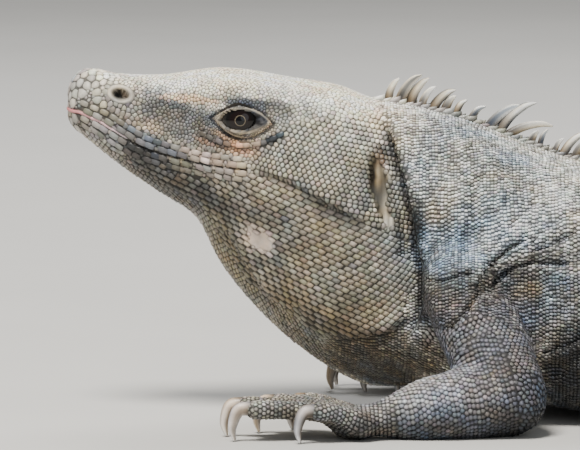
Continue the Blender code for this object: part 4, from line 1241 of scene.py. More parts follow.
def build(field, kind, corners, island):
    """Vertices, faces, colours and patches of a field of scales of one kind."""
    form = KINDS[kind]
    normal, lie, cross = frames(field)
    number, around = corners[0].shape
    turn = np.arange(around) * 2 * math.pi / around
    ahead = corners[0] / np.abs(corners[0]).max(1, keepdims=True)
    size = size_of(field)
    tall = form.height * size * (1 + 0.12 * RANDOM.normal(size=number))
    normal = normal + 0.05 * RANDOM.normal(size=normal.shape)
    layers, patch = [], []
    for wide, high in form.rings:
        raised = high > 0
        rise = high + form.tilt * ahead * raised * 0.5 + form.keel * np.abs(ahead) ** 6 * raised
        layers.append(
            field["p"][:, None]
            + lie[:, None] * (wide * corners[0])[..., None]
            + cross[:, None] * (wide * corners[1])[..., None]
            + normal[:, None] * (tall[:, None] * rise)[..., None]
        )
        patch.append(rows_of(np.cos(turn), np.sin(turn)) * wide * PATCH)
    peak = tall * (1.0 + 0.6 * form.keel)
    layers.append((field["p"] + normal * peak[:, None])[:, None])
    points, patch = np.concatenate(layers, 1), np.concatenate([*patch, np.zeros((1, 2))])
    # Painted light on each scale: darker at the base ring (painted shade, over the dark skin between
    # scales), brighter at the peak (painted highlight).
    shade = np.repeat(form.shade, (around, around, 1))
    per = points.shape[1]
    j = np.arange(around)
    k = (j + 1) % around
    quads = rows_of(j, k, around + k, around + j)
    triangles = rows_of(around + j, around + k, np.full(around, per - 1))
    tone = markings(field["p"]) * np.exp(form.vary * RANDOM.normal(size=(number, 1)))
    tone = tone * (1 + 0.035 * RANDOM.normal(size=(number, 3)))
    left, bottom, width, height = ISLANDS[island]
    root = rows_of(left + width * np.clip(field["at"], 0, 1), bottom + height * field["turn"])
    start = np.arange(number)[:, None, None] * per
    return {
        "points": points.reshape(-1, 3),
        "quads": (quads + start).reshape(-1, 4),
        "triangles": (triangles + start).reshape(-1, 3),
        "colours": (tone[:, None] * shade[:, None]).reshape(-1, 3),
        "patches": (root[:, None] + patch[None]).reshape(-1, 2),
    }


def coat_piece(name, parts, material):
    """One mesh of many scales, riding on the body."""
    starts = running([len(p["points"]) for p in parts])[:-1]
    points = np.concatenate([p["points"] for p in parts])
    points[:, 2] = np.maximum(points[:, 2], 0.02)
    loops, sizes = [], []
    for part, start in zip(parts, starts, strict=True):
        for faces in (part["quads"], part["triangles"]):
            loops.append((faces + start).ravel())
            sizes.append(np.full(len(faces), faces.shape[1]))
    loops, sizes = np.concatenate(loops), np.concatenate(sizes)
    mesh = bpy.data.meshes.new(name)
    mesh.vertices.add(len(points))
    mesh.vertices.foreach_set("co", (points * MM).ravel())
    mesh.loops.add(len(loops))
    mesh.loops.foreach_set("vertex_index", loops)
    mesh.polygons.add(len(sizes))
    mesh.polygons.foreach_set("loop_start", running(sizes[:-1]))
    mesh.polygons.foreach_set("use_smooth", np.ones(len(sizes), bool))
    mesh.update(calc_edges=True)
    paint(mesh, np.concatenate([p["colours"] for p in parts]))
    patches = np.concatenate([p["patches"] for p in parts])[loops]
    mesh.uv_layers.new(name="OFBake").data.foreach_set("uv", patches.ravel())
    mesh.materials.append(material)
    return object_of(name, mesh)


def paint(mesh, colours):
    layer = mesh.color_attributes.new("Marking", "FLOAT_COLOR", "POINT")
    opaque = np.concatenate([np.clip(colours, 0, 1), np.ones((len(colours), 1))], 1)
    layer.data.foreach_set("color", opaque.ravel())


# ---------------------------------------------------------------- where the scales lie
# The rows of scales on the throat and the cheek run back and down: their slope in degrees, the
# spacing of the rows, the greatest length of a scale, the place (s, height) inside that they are
# counted from, and how far below and above it they reach.
GULAR_LENGTH, CHEEK_LENGTH = 2.4, 1.62
GULAR_ROWS = (-24, 1.42, GULAR_LENGTH, (66, 50), -60, 45)
CHEEK_ROWS = (-14, 1.22, CHEEK_LENGTH, (70, 70), -30, 30)
# Length of the scales in them: s and length.
GULAR_PITCH = [
    (8, 1.5), (26, 2.1), (44, 2.35), (55, GULAR_LENGTH), (76, GULAR_LENGTH), (88, 1.7), (97, 1.1),
]
CHEEK_PITCH = [(54, 1.3), (62, CHEEK_LENGTH), (82, CHEEK_LENGTH), (92, 1.2)]
CHEEK_TOP = [(50, 70), (56, 78.5), (62, 83), (75, 85), (90, 84)]  # the cheek's upper edge
# Spacing of the plates on the face: s and spacing.
FACE_PITCH = [
    (0, 2.0), (3, 2.8), (8, 2.5), (13, 1.6), (20, 1.15), (30, 1.0), (55, 1.1), (75, 1.25), (100, 1.0),
]
# Size of the body's scales: s, spacing along the body, spacing round it.
BODY_PITCH = [
    (64, 0.90, 0.98), (84, 0.84, 0.92), (112, 0.90, 1.0), (140, 1.0, 1.1), (170, 1.65, 1.75),
    (250, 2.1, 2.25), (SNOUT_TO_VENT, 2.1, 2.25),
]
CREST_SCALES = (87.0, 384.0)  # first and last s of the pointed scales between the spines
WHORLS = [(SNOUT_TO_VENT, 10.5), (600, 8.6), (900, 5.4), (BODY_LENGTH, 3.4)]  # s, ring to ring
LIMB_LENGTH = 260.0  # a little more than the longest limb, for the unwrap
PALM_R = (8, 9, 9)
# Spacing along the limb and round it, on the digits and palm and then further up.
LIMB_PITCH = {"arm": ((1.1, 1.25), (1.12, 1.5)), "leg": ((1.25, 1.4), (1.5, 2.0))}
SCALED_LENGTH = BODY_LENGTH - 5  # the bare tip of the tail lies behind it
# Rows of plates: height above the line that they follow, length and width.
LIP_ROWS = [(1.08, 3.3, 1.75), (2.75, 2.9, 1.6), (-1.08, 3.1, 1.75), (-2.75, 2.8, 1.6)]
UNDER_EYE_ROWS = [(0, 2.5, 1.4)]
UNDER_EYE = [(38, 79.6), (43, 77.6), (48, 76.8), (53, 77.4), (57, 78.7), (60.5, 80.6)]
JOWL_EDGE = [(61, 67.6), (70, 62.8), (76, 59.6), (85, 55.4), (99, 49.8)]
# The fold behind the throat pouch: height and s.
THROAT_REAR = [
    (17.7, 92), (30.4, 97.4), (40.7, 98.8), (50.7, 97), (62.6, 94.6), (72.4, 92.2), (82, 88.6),
    (96, 84),
]
# The front edge of the chin and throat: s and height.
KEEL = [(3, 77), (15, 68.6), (36, 54.4), (50, 32), (62, 20.4), (75, 11.4), (96, 7)]
# The crease under the rear of the throat pouch, below which the scales are finer: s and height.
UNDER_POUCH = [(64, 18), (72.5, 22.4), (82.7, 23.0), (90, 25.4), (95.7, 30.4)]


def lip_distance(p):
    """Height above the line of the lips and the jowl's lower edge."""
    return p[:, 2] - straight(LIPS + JOWL_EDGE, p[:, 0])


def behind_throat(p, before=0.0):
    """True behind the fold that closes the head and throat pouch off from the neck, or up to
    the given distance before it."""
    return p[:, 0] > straight(THROAT_REAR, p[:, 2]) - before


def fine_throat(p):
    """True on the parts of the throat whose scales are as fine as the neck's."""
    low = (p[:, 0] > 66) & (p[:, 2] + lumps(p, 8, 53) < straight(UNDER_POUCH, p[:, 0]))
    return (lip_distance(p) < -1) & (low | behind_throat(p, 4.5 + 1.6 * lumps(p, 9, 52)))


def bare(p):
    """True where the skin shows no scales: eyes, nostrils, eardrums and the line of the mouth."""
    x, z = p[:, 0], p[:, 2]
    head = (x < 100) & (np.abs(p[:, 1]) > 1)
    eye = (almond(x, z) < 1.3) & (lid_share(x, z) < 1.06)
    nostril = (oval(x, z, NOSTRIL) < 1.75) & (np.abs(p[:, 1]) > 4)
    drum = oval(x, z, EAR) + 0.22 * lumps(p * (1, 0.3, 0.5), 2.6, 54) < 0.88
    lips = (np.abs(line_distance(LIPS, x, z)[0]) < 0.3) & (x < 50)
    return head & (eye | nostril | drum | lips | (oval(x, z, BALD) + 0.28 * lumps(p, 2.6, 51) < 1))


def face_pitch(p):
    """Size of the face's plates, which are finer on the eyelids and round the nostrils."""
    x, z = p[:, 0], p[:, 2]
    pitch = straight(FACE_PITCH, x)
    lids = 1 - eased_step(lid_share(x, z), 1.05, 1.5)
    nostril = (1 - eased_step(oval(x, z, NOSTRIL), 1.5, 3.0)) * (np.abs(p[:, 1]) > 4)
    on_lids = 1 - eased_step(lid_share(x, z), 0.98, 1.12)
    return pitch * (1 - 0.35 * lids) * (1 - 0.3 * nostril) * (1 - 0.3 * on_lids)


def body_stations(low, high):
    s = low
    while s < high:
        spacing, width = eased(BODY_PITCH, s)[0]
        centre, along, reach = body_ring(s, 1.3, 6)

        def pitch(p, width=width):
            return width * np.interp(p[:, 2], [20, 50, 78, 90], [0.94, 1.0, 1.15, 1.4])

        yield centre, along, (0, 0, 1), reach, spacing, pitch, s
        s += spacing


def row_lattice(skin, pitches, slope, spacing, length, core, low, high):
    """Staggered rows that run back along both sides of the head, laid out as GULAR_ROWS, with
    scales as long as a table like GULAR_PITCH says."""
    back = np.array((math.cos(math.radians(slope)), 0, math.sin(math.radians(slope))))
    rise = np.array((-back[2], 0, back[0]))
    core = np.array((core[0], 0, core[1]), float)
    ways = fan(np.radians(np.linspace(-100, 100, 201)), (0, -1, 0), back)
    kept = {"p": [], "n": [], "long": []}
    for i, height in enumerate(np.arange(low, high, spacing)):
        centre = core + rise * height
        found, hits, facing = skin.cast(np.repeat(centre[None], len(ways), 0), ways, 60)
        if not found[100]:
            continue
        lengths = straight(pitches, hits[:, 0])
        steps = np.linalg.norm(np.diff(hits, axis=0), axis=1) / (0.5 * (lengths[1:] + lengths[:-1]))
        good = found[1:] & found[:-1] & (steps < 2.5)
        count = running(np.where(good, steps, 0))
        count += 0.5 * (i % 2) + hits[100] @ back / length - count[100]
        ask = np.arange(math.ceil(count[0]), count[-1])
        ask = ask + 0.05 * RANDOM.normal(size=len(ask))
        k, t = places_among(count, ask)
        k, t = k[good[k]], t[good[k]]
        kept["p"].append(hits[k] * (1 - t) + hits[k + 1] * t)
        kept["n"].append(facing[k] * (1 - t) + facing[k + 1] * t)
        kept["long"].append(lengths[k])
    p, n, long = (np.concatenate(kept[name]) for name in ("p", "n", "long"))
    mirror = np.array((1, -1, 1))
    p, n = np.concatenate([p, p * mirror]), np.concatenate([n, n * mirror])
    return field_of(p, n, back, np.tile(long, 2), spacing, p[:, 0] / FORE_LENGTH, turn_of(p))


def keel_stations():
    """Stations down the front edge of the chin and throat."""
    line = open_curve(np.array(KEEL, float), 40)
    step = 0.0
    for (x, z), (x2, z2) in zip(line[:-1], line[1:], strict=True):
        step += math.hypot(x2 - x, z2 - z)
        if step > 1.1:
            step = 0.0
            along = unit(np.array((x2 - x, 0, z2 - z)))
            inward = np.array((-along[2], 0, along[0]))
            centre = np.array((x, 0, z)) + inward * 9
            yield centre, along, -inward, 16, 1.15, 1.5, x / FORE_LENGTH


def plate_rows(skin, line, rows, start=0.0):
    """Plates on both sides along a line (s, height), in rows of (height above the line, length,
    width)."""
    line = open_curve(np.array(line, float), 24)
    run = run_of(line)
    fields = []
    for row, (height, long, wide) in enumerate(rows):
        at = np.arange(start + (row % 2) * long / 2, run[-1] - 0.5, long)
        at = at + 0.12 * long * RANDOM.normal(size=len(at))
        x, z = np.interp(at, run, line[:, 0]), np.interp(at, run, line[:, 1])
        slope = np.interp(at + 0.5, run, line[:, 1]) - np.interp(at - 0.5, run, line[:, 1])
        x, z = x - height * slope, z + height
        for side in (LEFT, RIGHT):
            ways = np.broadcast_to((0.0, side, 0.0), (len(x), 3))
            found, hits, facing = skin.cast(rows_of(x, 0 * x, z), ways, 40)
            lie = rows_of(np.ones(len(x)), 0 * x, slope)
            turn = 0.5 + 0.2 * side
            field = field_of(hits, facing, lie, long * 1.02, wide * 1.04, x / FORE_LENGTH, turn)
            fields.append(pick(field, found))
    return join(fields)


def line_stations(points, radii, spacing, pitch, reach, start=0.0):
    """Stations along a smooth line through points, from a share of its length to its end. The
    rays reach further than the radii by the factor reach."""
    line = open_curve(np.array([[*p, r] for p, r in zip(points, radii, strict=True)], float), 40)
    run = run_of(line[:, :3])
    at = np.arange(start * run[-1], run[-1], spacing)
    spots = rows_of(*(np.interp(at, run, q) for q in line.T))
    ahead = rows_of(*(np.interp(at + 1.5, run, q) - np.interp(at - 1.5, run, q) for q in line.T[:3]))
    for spot, along, a in zip(spots, ahead, at, strict=True):
        up = (0, 0, 1) if abs(unit(along)[2]) < 0.9 else (0, 1, 0)
        yield spot[:3], along, up, spot[3] * reach, spacing, pitch, a / LIMB_LENGTH


def even(pitch):
    """The same pitch at every point."""
    return lambda p: np.full(len(p), float(pitch))


def limb_fields(skin, side, kind):
    """The scales of one limb: those of the digits and the palm or sole, those in rows along the
    limb, and the unordered ones over its middle joint."""
    limb, upper_r, lower_r, table, palm = LIMBS[kind]
    fine, coarse = LIMB_PITCH[kind]
    root, middle, end = chain(side, limb)
    digits = digit_layout(side, end, limb[side]["turn"], table, palm)

    def bone_rings(start, stop, radii, pitch, reach, rays):
        points = [start, between(start, stop, 0.5), stop]
        return ring_lattice(skin, line_stations(points, radii, *pitch, reach), rays)

    fields = []
    for points, _ in digits:
        fields.append(ring_lattice(skin, line_stations(points, DIGIT_R, *fine, 1.75, 0.12), 40))
    knuckles = np.mean([points[0] for points, _ in digits], axis=0)
    fields.append(clear_of(bone_rings(end, knuckles, PALM_R, fine, 1.7, 80), fields))
    wrist_r = (lower_r[0], lower_r[1], lower_r[3])
    lower = clear_of(bone_rings(middle, end, wrist_r, coarse, 1.6, 90), fields)
    upper = clear_of(bone_rings(root, middle, upper_r, coarse, 1.7, 90), [*fields, lower])
    if kind == "arm":
        hood = 32.5 - 0.035 * (upper["p"][:, 0] - limb[side]["shoulder"][0] - 4) ** 2
        upper = pick(upper, upper["p"][:, 2] < hood)
    line = np.array([between(root, middle, 0.45), middle, between(middle, end, 0.3)])

    def on_joint(p):
        s, aside = body_place(p)
        near = nearest_on(line, p)[0] < 1.5 * upper_r[2]
        off_body = np.abs(aside) > eased(section_table(), s)[:, 6] + 1.5
        return near & (p[:, 2] > 0.6) & (p[:, 2] < 40) & off_body

    joint = scattered(skin, on_joint, even(coarse[1]), middle - root, 14000, 4, 9)
    keep = nearest_on(line, joint["p"])[1] > 2
    if kind == "arm":
        keep &= joint["p"][:, 2] < 24
    joint = clear_of(pick(joint, keep), [*fields, lower, upper], 0.8)
    return join(fields), join([lower, upper]), joint


def body_ring(s, share, spare):
    """The middle of the body at s, the way it runs, and how far rays round it have to reach:
    a share of the larger half width or height and some to spare."""
    row = eased(section_table(), s)[0]
    middle = (row[0] + row[1]) / 2
    along = place(s + 1, 0, 0) - place(s, 0, 0)
    return place(s, 0, middle), along, max(row[6], row[0] - middle) * share + spare


def tail_fields(skin):
    """The rings of long spiny scales, and the plainer rings between them."""
    spiny, plain = [], []
    s = SNOUT_TO_VENT + 2
    while s < SCALED_LENGTH:
        whorl = eased(WHORLS, s)[0, 0]
        centre, along, reach = body_ring(s, 1.4, 3)
        share = (s - SNOUT_TO_VENT) / TAIL_LENGTH
        up = (0, 0, 1)
        spiny.append((centre, along, up, reach, 0.48 * whorl, 0.40 * whorl, share))
        for k in (0.42, 0.68):
            between_rings = place(s + k * whorl, 0, centre[2])
            plain.append((between_rings, along, up, reach, 0.27 * whorl, 0.27 * whorl, share))
        s += whorl
    return ring_lattice(skin, spiny, 70), ring_lattice(skin, plain, 70)


def crest_field(skin):
    """Pointed scales in three rows along the midline, between and beside the spines' roots."""
    fields = []
    for row, aside in enumerate((-1.5, 0.0, 1.5)):
        s = np.arange(CREST_SCALES[0] + 0.7 * (row % 2), CREST_SCALES[1], 2.1)
        size = np.interp(s, [88, 150, 380], [1.0, 0.9, 0.7]) * (1 + 0.12 * RANDOM.normal(size=len(s)))
        down = np.broadcast_to((0, 0, -1.0), (len(s), 3))
        found, hits, facing = skin.cast(place(s, aside, 120), down, 90)
        lie = place(s + 1, aside, 0) - place(s, aside, 0) + (0, 0, 0.5 if aside == 0 else 0.3)
        turn = 0.02 * (row + 1)
        field = field_of(hits, facing, lie, 2.7 * size, 1.5 * size, s / FORE_LENGTH, turn)
        fields.append(pick(field, found))
    return join(fields)


def gap_field(skin, fields):
    """Small scales wherever the others have left the skin open."""
    def is_open(p):
        size, distance = nearest_scale(fields, p)
        on_body = body_place(p)[0] < SCALED_LENGTH
        return (distance > 0.55 * size + 0.3) & ~bare(p) & (p[:, 2] > 0.5) & on_body

    made = scattered(skin, is_open, even(1), (1.0, 0, -0.5), 60000, 1, 9)
    return clear_of(pick(made, ~bare(made["p"])), fields, 0.78)


def split(parts, limit=190000):
    """Groups of parts with fewer triangles than limit in each."""
    groups, total = [[]], 0
    for part in parts:
        count = 2 * len(part["quads"]) + len(part["triangles"])
        if total + count > limit and groups[-1]:
            groups.append([])
            total = 0
        groups[-1].append(part)
        total += count
    return groups


def limb_coat(skin, material):
    """The limbs' scales: their fields, and one piece for each limb."""
    fields, made = [], []
    for name, side in SIDES.items():
        for kind in LIMBS:
            small, rows, joint = limb_fields(skin, side, kind)
            fields += [small, rows, joint]
            limb = f"{kind}_{name}"
            parts = [
                build(small, "leaf", cells(small, 7, 0.05, [rows]), limb),
                build(rows, "leaf", outline(rows, 1.7, 8, (1.46, 1.0)), limb),
                build(joint, "leaf", cells(joint, 8, 0.06, [rows]), limb),
            ]
            made.append(coat_piece(f"scales_{limb}", parts, material))
    return fields, made


def on_cheek(p):
    x, z = p[:, 0], p[:, 2]
    outside = (x > 52) & (np.abs(p[:, 1]) > 14)
    return outside & (z < straight(CHEEK_TOP, x)) & (lip_distance(p) > -0.3) & ~behind_throat(p)


def on_face(p):
    open_skin = ~behind_throat(p) & ~bare(p) & ~on_cheek(p)
    above = (lip_distance(p) > -0.4) | ((p[:, 0] < 6.5) & (lip_distance(p) < -0.8))
    return (p[:, 0] < 101) & above & (np.abs(p[:, 1]) < 42) & open_skin


def head_fields(skin):
    """The plates of the lips, the face and the cheeks, the rows of the throat and the scales of
    its front edge."""
    lips = plate_rows(skin, LIPS, LIP_ROWS, 2.4)
    lips = join([pick(lips, lips["p"][:, 0] > 3.4), plate_rows(skin, UNDER_EYE, UNDER_EYE_ROWS)])
    rows = row_lattice(skin, GULAR_PITCH, *GULAR_ROWS)
    p = rows["p"]
    keel = (np.abs(rows["n"][:, 1]) < 0.62) & (p[:, 0] < 88)
    rows = pick(rows, (lip_distance(p) < -1.0) & ~fine_throat(p) & ~keel & ~bare(p))
    rows = clear_of(rows, [lips], 0.8)
    cheeks = row_lattice(skin, CHEEK_PITCH, *CHEEK_ROWS)
    cheeks = pick(cheeks, on_cheek(cheeks["p"]) & ~bare(cheeks["p"]))
    cheeks = clear_of(cheeks, [lips, rows], 0.8)
    front = ring_lattice(skin, keel_stations(), 60)
    p = front["p"]
    front = pick(front, (np.abs(front["n"][:, 1]) < 0.75) & (p[:, 0] < 72) & (lip_distance(p) < -1.2))
    front = clear_of(front, [lips, rows], 0.8)
    face = scattered(skin, on_face, face_pitch, (1.0, 0, -0.15), 90000)
    face = clear_of(pick(face, ~bare(face["p"])), [lips, cheeks, rows, front], 0.85)
    return lips, face, cheeks, rows, front


def head_coat(skin, material):
    """The head's and throat's scales: their fields and pieces."""
    lips, face, cheeks, rows, front = fields = head_fields(skin)
    parts = [
        build(lips, "lip", outline(lips, 5.0, 8, (0.97, 1.0)), "fore"),
        build(face, "plate", cells(face, 8, 0.03, [lips, cheeks]), "fore"),
        build(cheeks, "cheek", cells(cheeks, 8, 0.03, [rows, face, lips]), "fore"),
    ]
    made = []
    for k, group in enumerate(split(parts)):
        made.append(coat_piece(f"scales_head_{k + 1}", group, material))
    parts = [
        build(rows, "gular", outline(rows, 7.0, 8, (0.98, 1.0), 0.38), "fore"),
        build(front, "gular", cells(front, 6, 0.05, [rows]), "fore"),
    ]
    made.append(coat_piece("scales_throat", parts, material))
    return fields, made


def body_field(skin):
    """The small scales of the neck and trunk, in rings that waver on the neck."""
    body = ring_lattice(skin, body_stations(64, SNOUT_TO_VENT), 220)
    p = body["p"]
    wave = rows_of(0.2 * lumps(p, 9, 41), 0 * p[:, 0], 0.7 * lumps(p, 11, 42)) * (p[:, :1] < 170)
    body["p"], body["n"] = skin.snap(p + wave)
    steep = np.abs((body["n"] * body["lie"]).sum(1))
    body["long"] = body["long"] * np.where(steep > 0.6, 0.75, 1.0)
    body = pick(body, steep < 0.8)
    p = body["p"]
    keep = (behind_throat(p) | (p[:, 0] > 100) | fine_throat(p)) & ~bare(p)
    keep &= (p[:, 2] > 1.2) | (body["n"][:, 2] > -0.6)
    return pick(body, keep)


def body_coat(body, material):
    """The pieces of the neck and trunk, two of each."""
    fore = body["p"][:, 0] < FORE_LENGTH
    neck, trunk = pick(body, fore), pick(body, ~fore)
    neck["at"] = neck["at"] / FORE_LENGTH
    trunk["at"] = (trunk["at"] - FORE_LENGTH) / (SNOUT_TO_VENT - FORE_LENGTH)
    wholes = [
        ("neck", "fore", neck, neck["p"][:, 0] < 116, "bead", (1.7, 6, (1.62, 0.98))),
        ("trunk", "trunk", trunk, trunk["at"] <= 0.45, "leaf", (1.8, 6, (1.3, 1.0))),
    ]
    made = []
    for name, island, whole, first, kind, shape in wholes:
        for k, half in enumerate([pick(whole, first), pick(whole, ~first)]):
            built = build(half, kind, outline(half, *shape), island)
            made.append(coat_piece(f"scales_{name}_{k + 1}", [built], material))
    return made


def make_coat(skin, material):
    """Every scale of the animal, as pieces named after where they lie."""
    limbs, made = limb_coat(skin, material)
    fields, pieces = head_coat(skin, material)
    made += pieces
    lips, face, cheeks, rows, front = fields
    body, crest = body_field(skin), crest_field(skin)
    body = clear_of(body, [*limbs, face, rows, cheeks, front, crest], 0.72)
    made += body_coat(body, material)
    spiny, plain = tail_fields(skin)
    extra = gap_field(skin, [*limbs, lips, face, rows, cheeks, front, body, crest, spiny, plain])
    parts = [
        build(extra, "filler", cells(extra, 6, 0.04), "fore"),
        build(crest, "crest", outline(crest, 1.5, 8, (1.2, 1.0)), "fore"),
    ]
    made.append(coat_piece("scales_between", parts, material))
    parts = [
        build(spiny, "spiny", outline(spiny, 1.4, 6, (1.35, 1.0)), "tail"),
        build(plain, "leaf", outline(plain, 1.8, 6, (1.3, 1.0)), "tail"),
    ]
    made.append(coat_piece("scales_tail", parts, material))
    return made


# ---------------------------------------------------------------- horn, lips and eyes
LINING_REACH, LINING_TONE, LINING_REAR = 17.0, (0.78, 0.50, 0.50), (0.90, 0.84, 0.86)
HORN_ROOT, HORN_MIDDLE, HORN_TIP = (0.17, 0.16, 0.15), (0.74, 0.73, 0.70), (0.99, 0.97, 0.92)
CLAW_ROOT, CLAW_MIDDLE, CLAW_TIP = (0.34, 0.31, 0.28), (0.60, 0.57, 0.54), (0.74, 0.71, 0.68)


def horn_tube(line, radii, flat, tones, around=12, per_span=7):
    """A smooth horny tube with its colour along it."""
    points, faces = limb_tube(line, radii, flat=flat, around=around, per_span=per_span, round_ends=False)
    rings = (len(points) - 2) // around
    share = np.concatenate([np.repeat(np.linspace(0, 1, rings), around), [0, 1]])
    rows = [(0, *tones[0]), (0.28, *(1.9 * v for v in tones[0])), (0.6, *tones[1]), (1, *tones[2])]
    angle = np.concatenate([np.tile(np.arange(around), rings), [0, 0]]) * 2 * math.pi / around
    streaks = 0.10 * lumps(points, 4, 21) + 0.24 * np.sin(3 * angle + points[0, 0])
    streaks = streaks + 0.20 * np.sin(2 * angle + points[0, 2]) + 0.10 * math.sin(2.7 * points[0, 0])
    warm = 0.03 * np.sin(2 * angle + points[0, 0]) + 0.025 * math.sin(4.1 * points[0, 0])
    colours = eased(rows, share) * (1 + streaks)[:, None] + warm[:, None] * np.array((1, 0.2, -1))
    return points, faces, linear(np.clip(colours, 0.02, 0.97))


def horn_piece(name, tubes, material):
    mesh = mesh_of([(p, f) for p, f, _ in tubes])
    paint(mesh, np.concatenate([c for _, _, c in tubes]))
    mesh.shade_smooth()
    mesh.materials.append(material)
    return object_of(name, mesh)


def make_crest(material):
    tubes = []
    for spine in crest_spines():
        line, radii = spine_curve(*spine)
        radii = [*radii[:-1], 0.4 * radii[-1]]
        tubes.append(horn_tube(line, radii, SPINE_DEPTH, (HORN_ROOT, HORN_MIDDLE, HORN_TIP)))
    return horn_piece("crest", tubes, material)


def make_claws(material):
    tubes = []
    for end in limb_ends():
        for line in claw_curves(*end):
            radii = [radius * 0.82 for radius in CLAW_R]
            tubes.append(horn_tube(line, radii, 1.25, (CLAW_ROOT, CLAW_MIDDLE, CLAW_TIP)))
    return horn_piece("claws", tubes, material)


def make_lip_lining(skin, material):
    """The moist edge that shows where the mouth is slightly open at the front."""
    line = open_curve(np.array(LIPS, float), 6)
    line = line[(line[:, 0] > 1.2) & (line[:, 0] < LINING_REACH)]
    path = []
    for side, ordered in ((LEFT, line[::-1]), (RIGHT, line)):
        s, height = ordered.T
        none = np.zeros(len(s))
        origins = rows_of(s, none, height)
        ways = rows_of(-0.4 * (1 - eased_step(s, 1, 4)), none + side, none)
        found, hits, facing = skin.cast(origins, ways, 30)
        path.append(hits[found] + facing[found] * (0.08 + 0.27 * eased_step(ordered[found, :1], 1, 4)))
    path = np.concatenate(path)
    share = np.linspace(-1, 1, len(path))
    points, faces = limb_tube(path, 0.14 + 0.38 * (1 - share**2) ** 0.5, flat=0.9, around=10, per_span=2)
    rear = (points[:, :1] / LINING_REACH).clip(0, 1)
    tone = np.array(LINING_TONE) * (1 - rear) + np.array(LINING_REAR) * rear
    return horn_piece("lip_lining", [(points, faces, linear(tone))], material)


def make_eye(name, side, material):
    """A wet ball, with the angle from the middle of the pupil kept on it in radians."""
    work = bmesh.new()
    bmesh.ops.create_uvsphere(work, u_segments=64, v_segments=48, radius=EYE_R)
    gaze = np.array((-0.06, side, 0.02))
    gaze /= np.linalg.norm(gaze)
    mesh = bpy.data.meshes.new(name)
    work.to_mesh(mesh)
    work.free()
    mesh.transform(Vector(gaze).to_track_quat("Z", "Y").to_matrix().to_4x4())
    points = values(mesh.vertices, "co", 3)
    angle = np.arccos(np.clip(points @ gaze / EYE_R, -1, 1))
    mesh.attributes.new("Angle", "FLOAT", "POINT").data.foreach_set("value", angle)
    set_coordinates(mesh, points * 0.995 + place(EYE_S, side * EYE_Y, EYE_Z))
    mesh.shade_smooth()
    mesh.materials.append(material)
    return object_of(name, mesh)


# ---------------------------------------------------------------- materials
def new_material(name, roughness, specular=0.4):
    made = bpy.data.materials.new(name)
    made.use_nodes = True
    shader = made.node_tree.nodes["Principled BSDF"]
    shader.inputs["Roughness"].default_value = roughness
    shader.inputs["Specular IOR Level"].default_value = specular
    return made, made.node_tree, shader


def node(tree, kind, **values):
    made = tree.nodes.new(kind)
    for name, value in values.items():
        if name in made.inputs:
            made.inputs[name].default_value = value
        else:
            setattr(made, name, value)
    return made


def noise(tree, scale, detail=4.0, roughness=0.55):
    where = node(tree, "ShaderNodeTexCoord")
    made = node(tree, "ShaderNodeTexNoise", Scale=scale, Detail=detail, Roughness=roughness)
    tree.links.new(where.outputs["Object"], made.inputs["Vector"])
    return made


def ramp(tree, value, low, high):
    made = node(tree, "ShaderNodeMapRange")
    made.inputs["To Min"].default_value, made.inputs["To Max"].default_value = low, high
    tree.links.new(value, made.inputs["Value"])
    return made.outputs["Result"]


def tinted(tree, shader, texture, low, high, **values):
    """Colours a surface, darker and lighter by a texture: the node that takes its colour."""
    tint = node(tree, "ShaderNodeHueSaturation", **values)
    tree.links.new(ramp(tree, texture.outputs["Fac"], low, high), tint.inputs["Value"])
    tree.links.new(tint.outputs["Color"], shader.inputs["Base Color"])
    return tint


def marked(name, roughness, grain, depth, spread=0.22):
    """A surface that carries the markings, with mottling, fine grain and uneven gloss."""
    made, tree, shader = new_material(name, roughness)
    mark = node(tree, "ShaderNodeAttribute", attribute_name="Marking")
    mottle, fine = noise(tree, 420), noise(tree, grain, 3.0)
    tint = tinted(tree, shader, mottle, 1 - 1.6 * spread, 1 + 1.6 * spread)
    tree.links.new(mark.outputs["Color"], tint.inputs["Color"])
    tree.links.new(ramp(tree, fine.outputs["Fac"], 0.8, 1.25), tint.inputs["Saturation"])
    gloss = ramp(tree, fine.outputs["Fac"], roughness - 0.14, roughness + 0.14)
    tree.links.new(gloss, shader.inputs["Roughness"])
    bump = node(tree, "ShaderNodeBump", Strength=0.5, Distance=depth)
    tree.links.new(fine.outputs["Fac"], bump.inputs["Height"])
    tree.links.new(bump.outputs["Normal"], shader.inputs["Normal"])
    return made


def eye_material():
    """Dark brown iris with a thin gold ring round a black pupil, under a wet surface."""
    made, tree, shader = new_material("eye", 0.06, 0.25)
    shader.inputs["Coat Weight"].default_value = 0.15
    shader.inputs["Coat Roughness"].default_value = 0.03
    angle = node(tree, "ShaderNodeAttribute", attribute_name="Angle")
    colours = node(tree, "ShaderNodeValToRGB")
    stops = [
        (0.0, (0.002, 0.002, 0.003)), (0.195, (0.002, 0.002, 0.003)), (0.21, (0.17, 0.14, 0.10)),
        (0.226, (0.11, 0.09, 0.06)), (0.245, (0.008, 0.004, 0.0035)), (0.44, (0.006, 0.003, 0.003)),
        (0.52, (0.004, 0.003, 0.003)), (0.62, (0.003, 0.003, 0.003)), (0.70, (0.012, 0.011, 0.010)),
        (1.0, (0.03, 0.025, 0.02)),
    ]
    while len(colours.color_ramp.elements) < len(stops):
        colours.color_ramp.elements.new(0.5)
    for element, (at, tone) in zip(colours.color_ramp.elements, stops, strict=True):
        element.position = at
        element.color = (*tone, 1)
    tree.links.new(angle.outputs["Fac"], colours.inputs["Fac"])
    streak = noise(tree, 2600, 6.0)
    tint = tinted(tree, shader, streak, 0.5, 1.6)
    tree.links.new(colours.outputs["Color"], tint.inputs["Color"])
    tree.links.new(ramp(tree, streak.outputs["Fac"], 0.04, 0.09), shader.inputs["Roughness"])
    return made


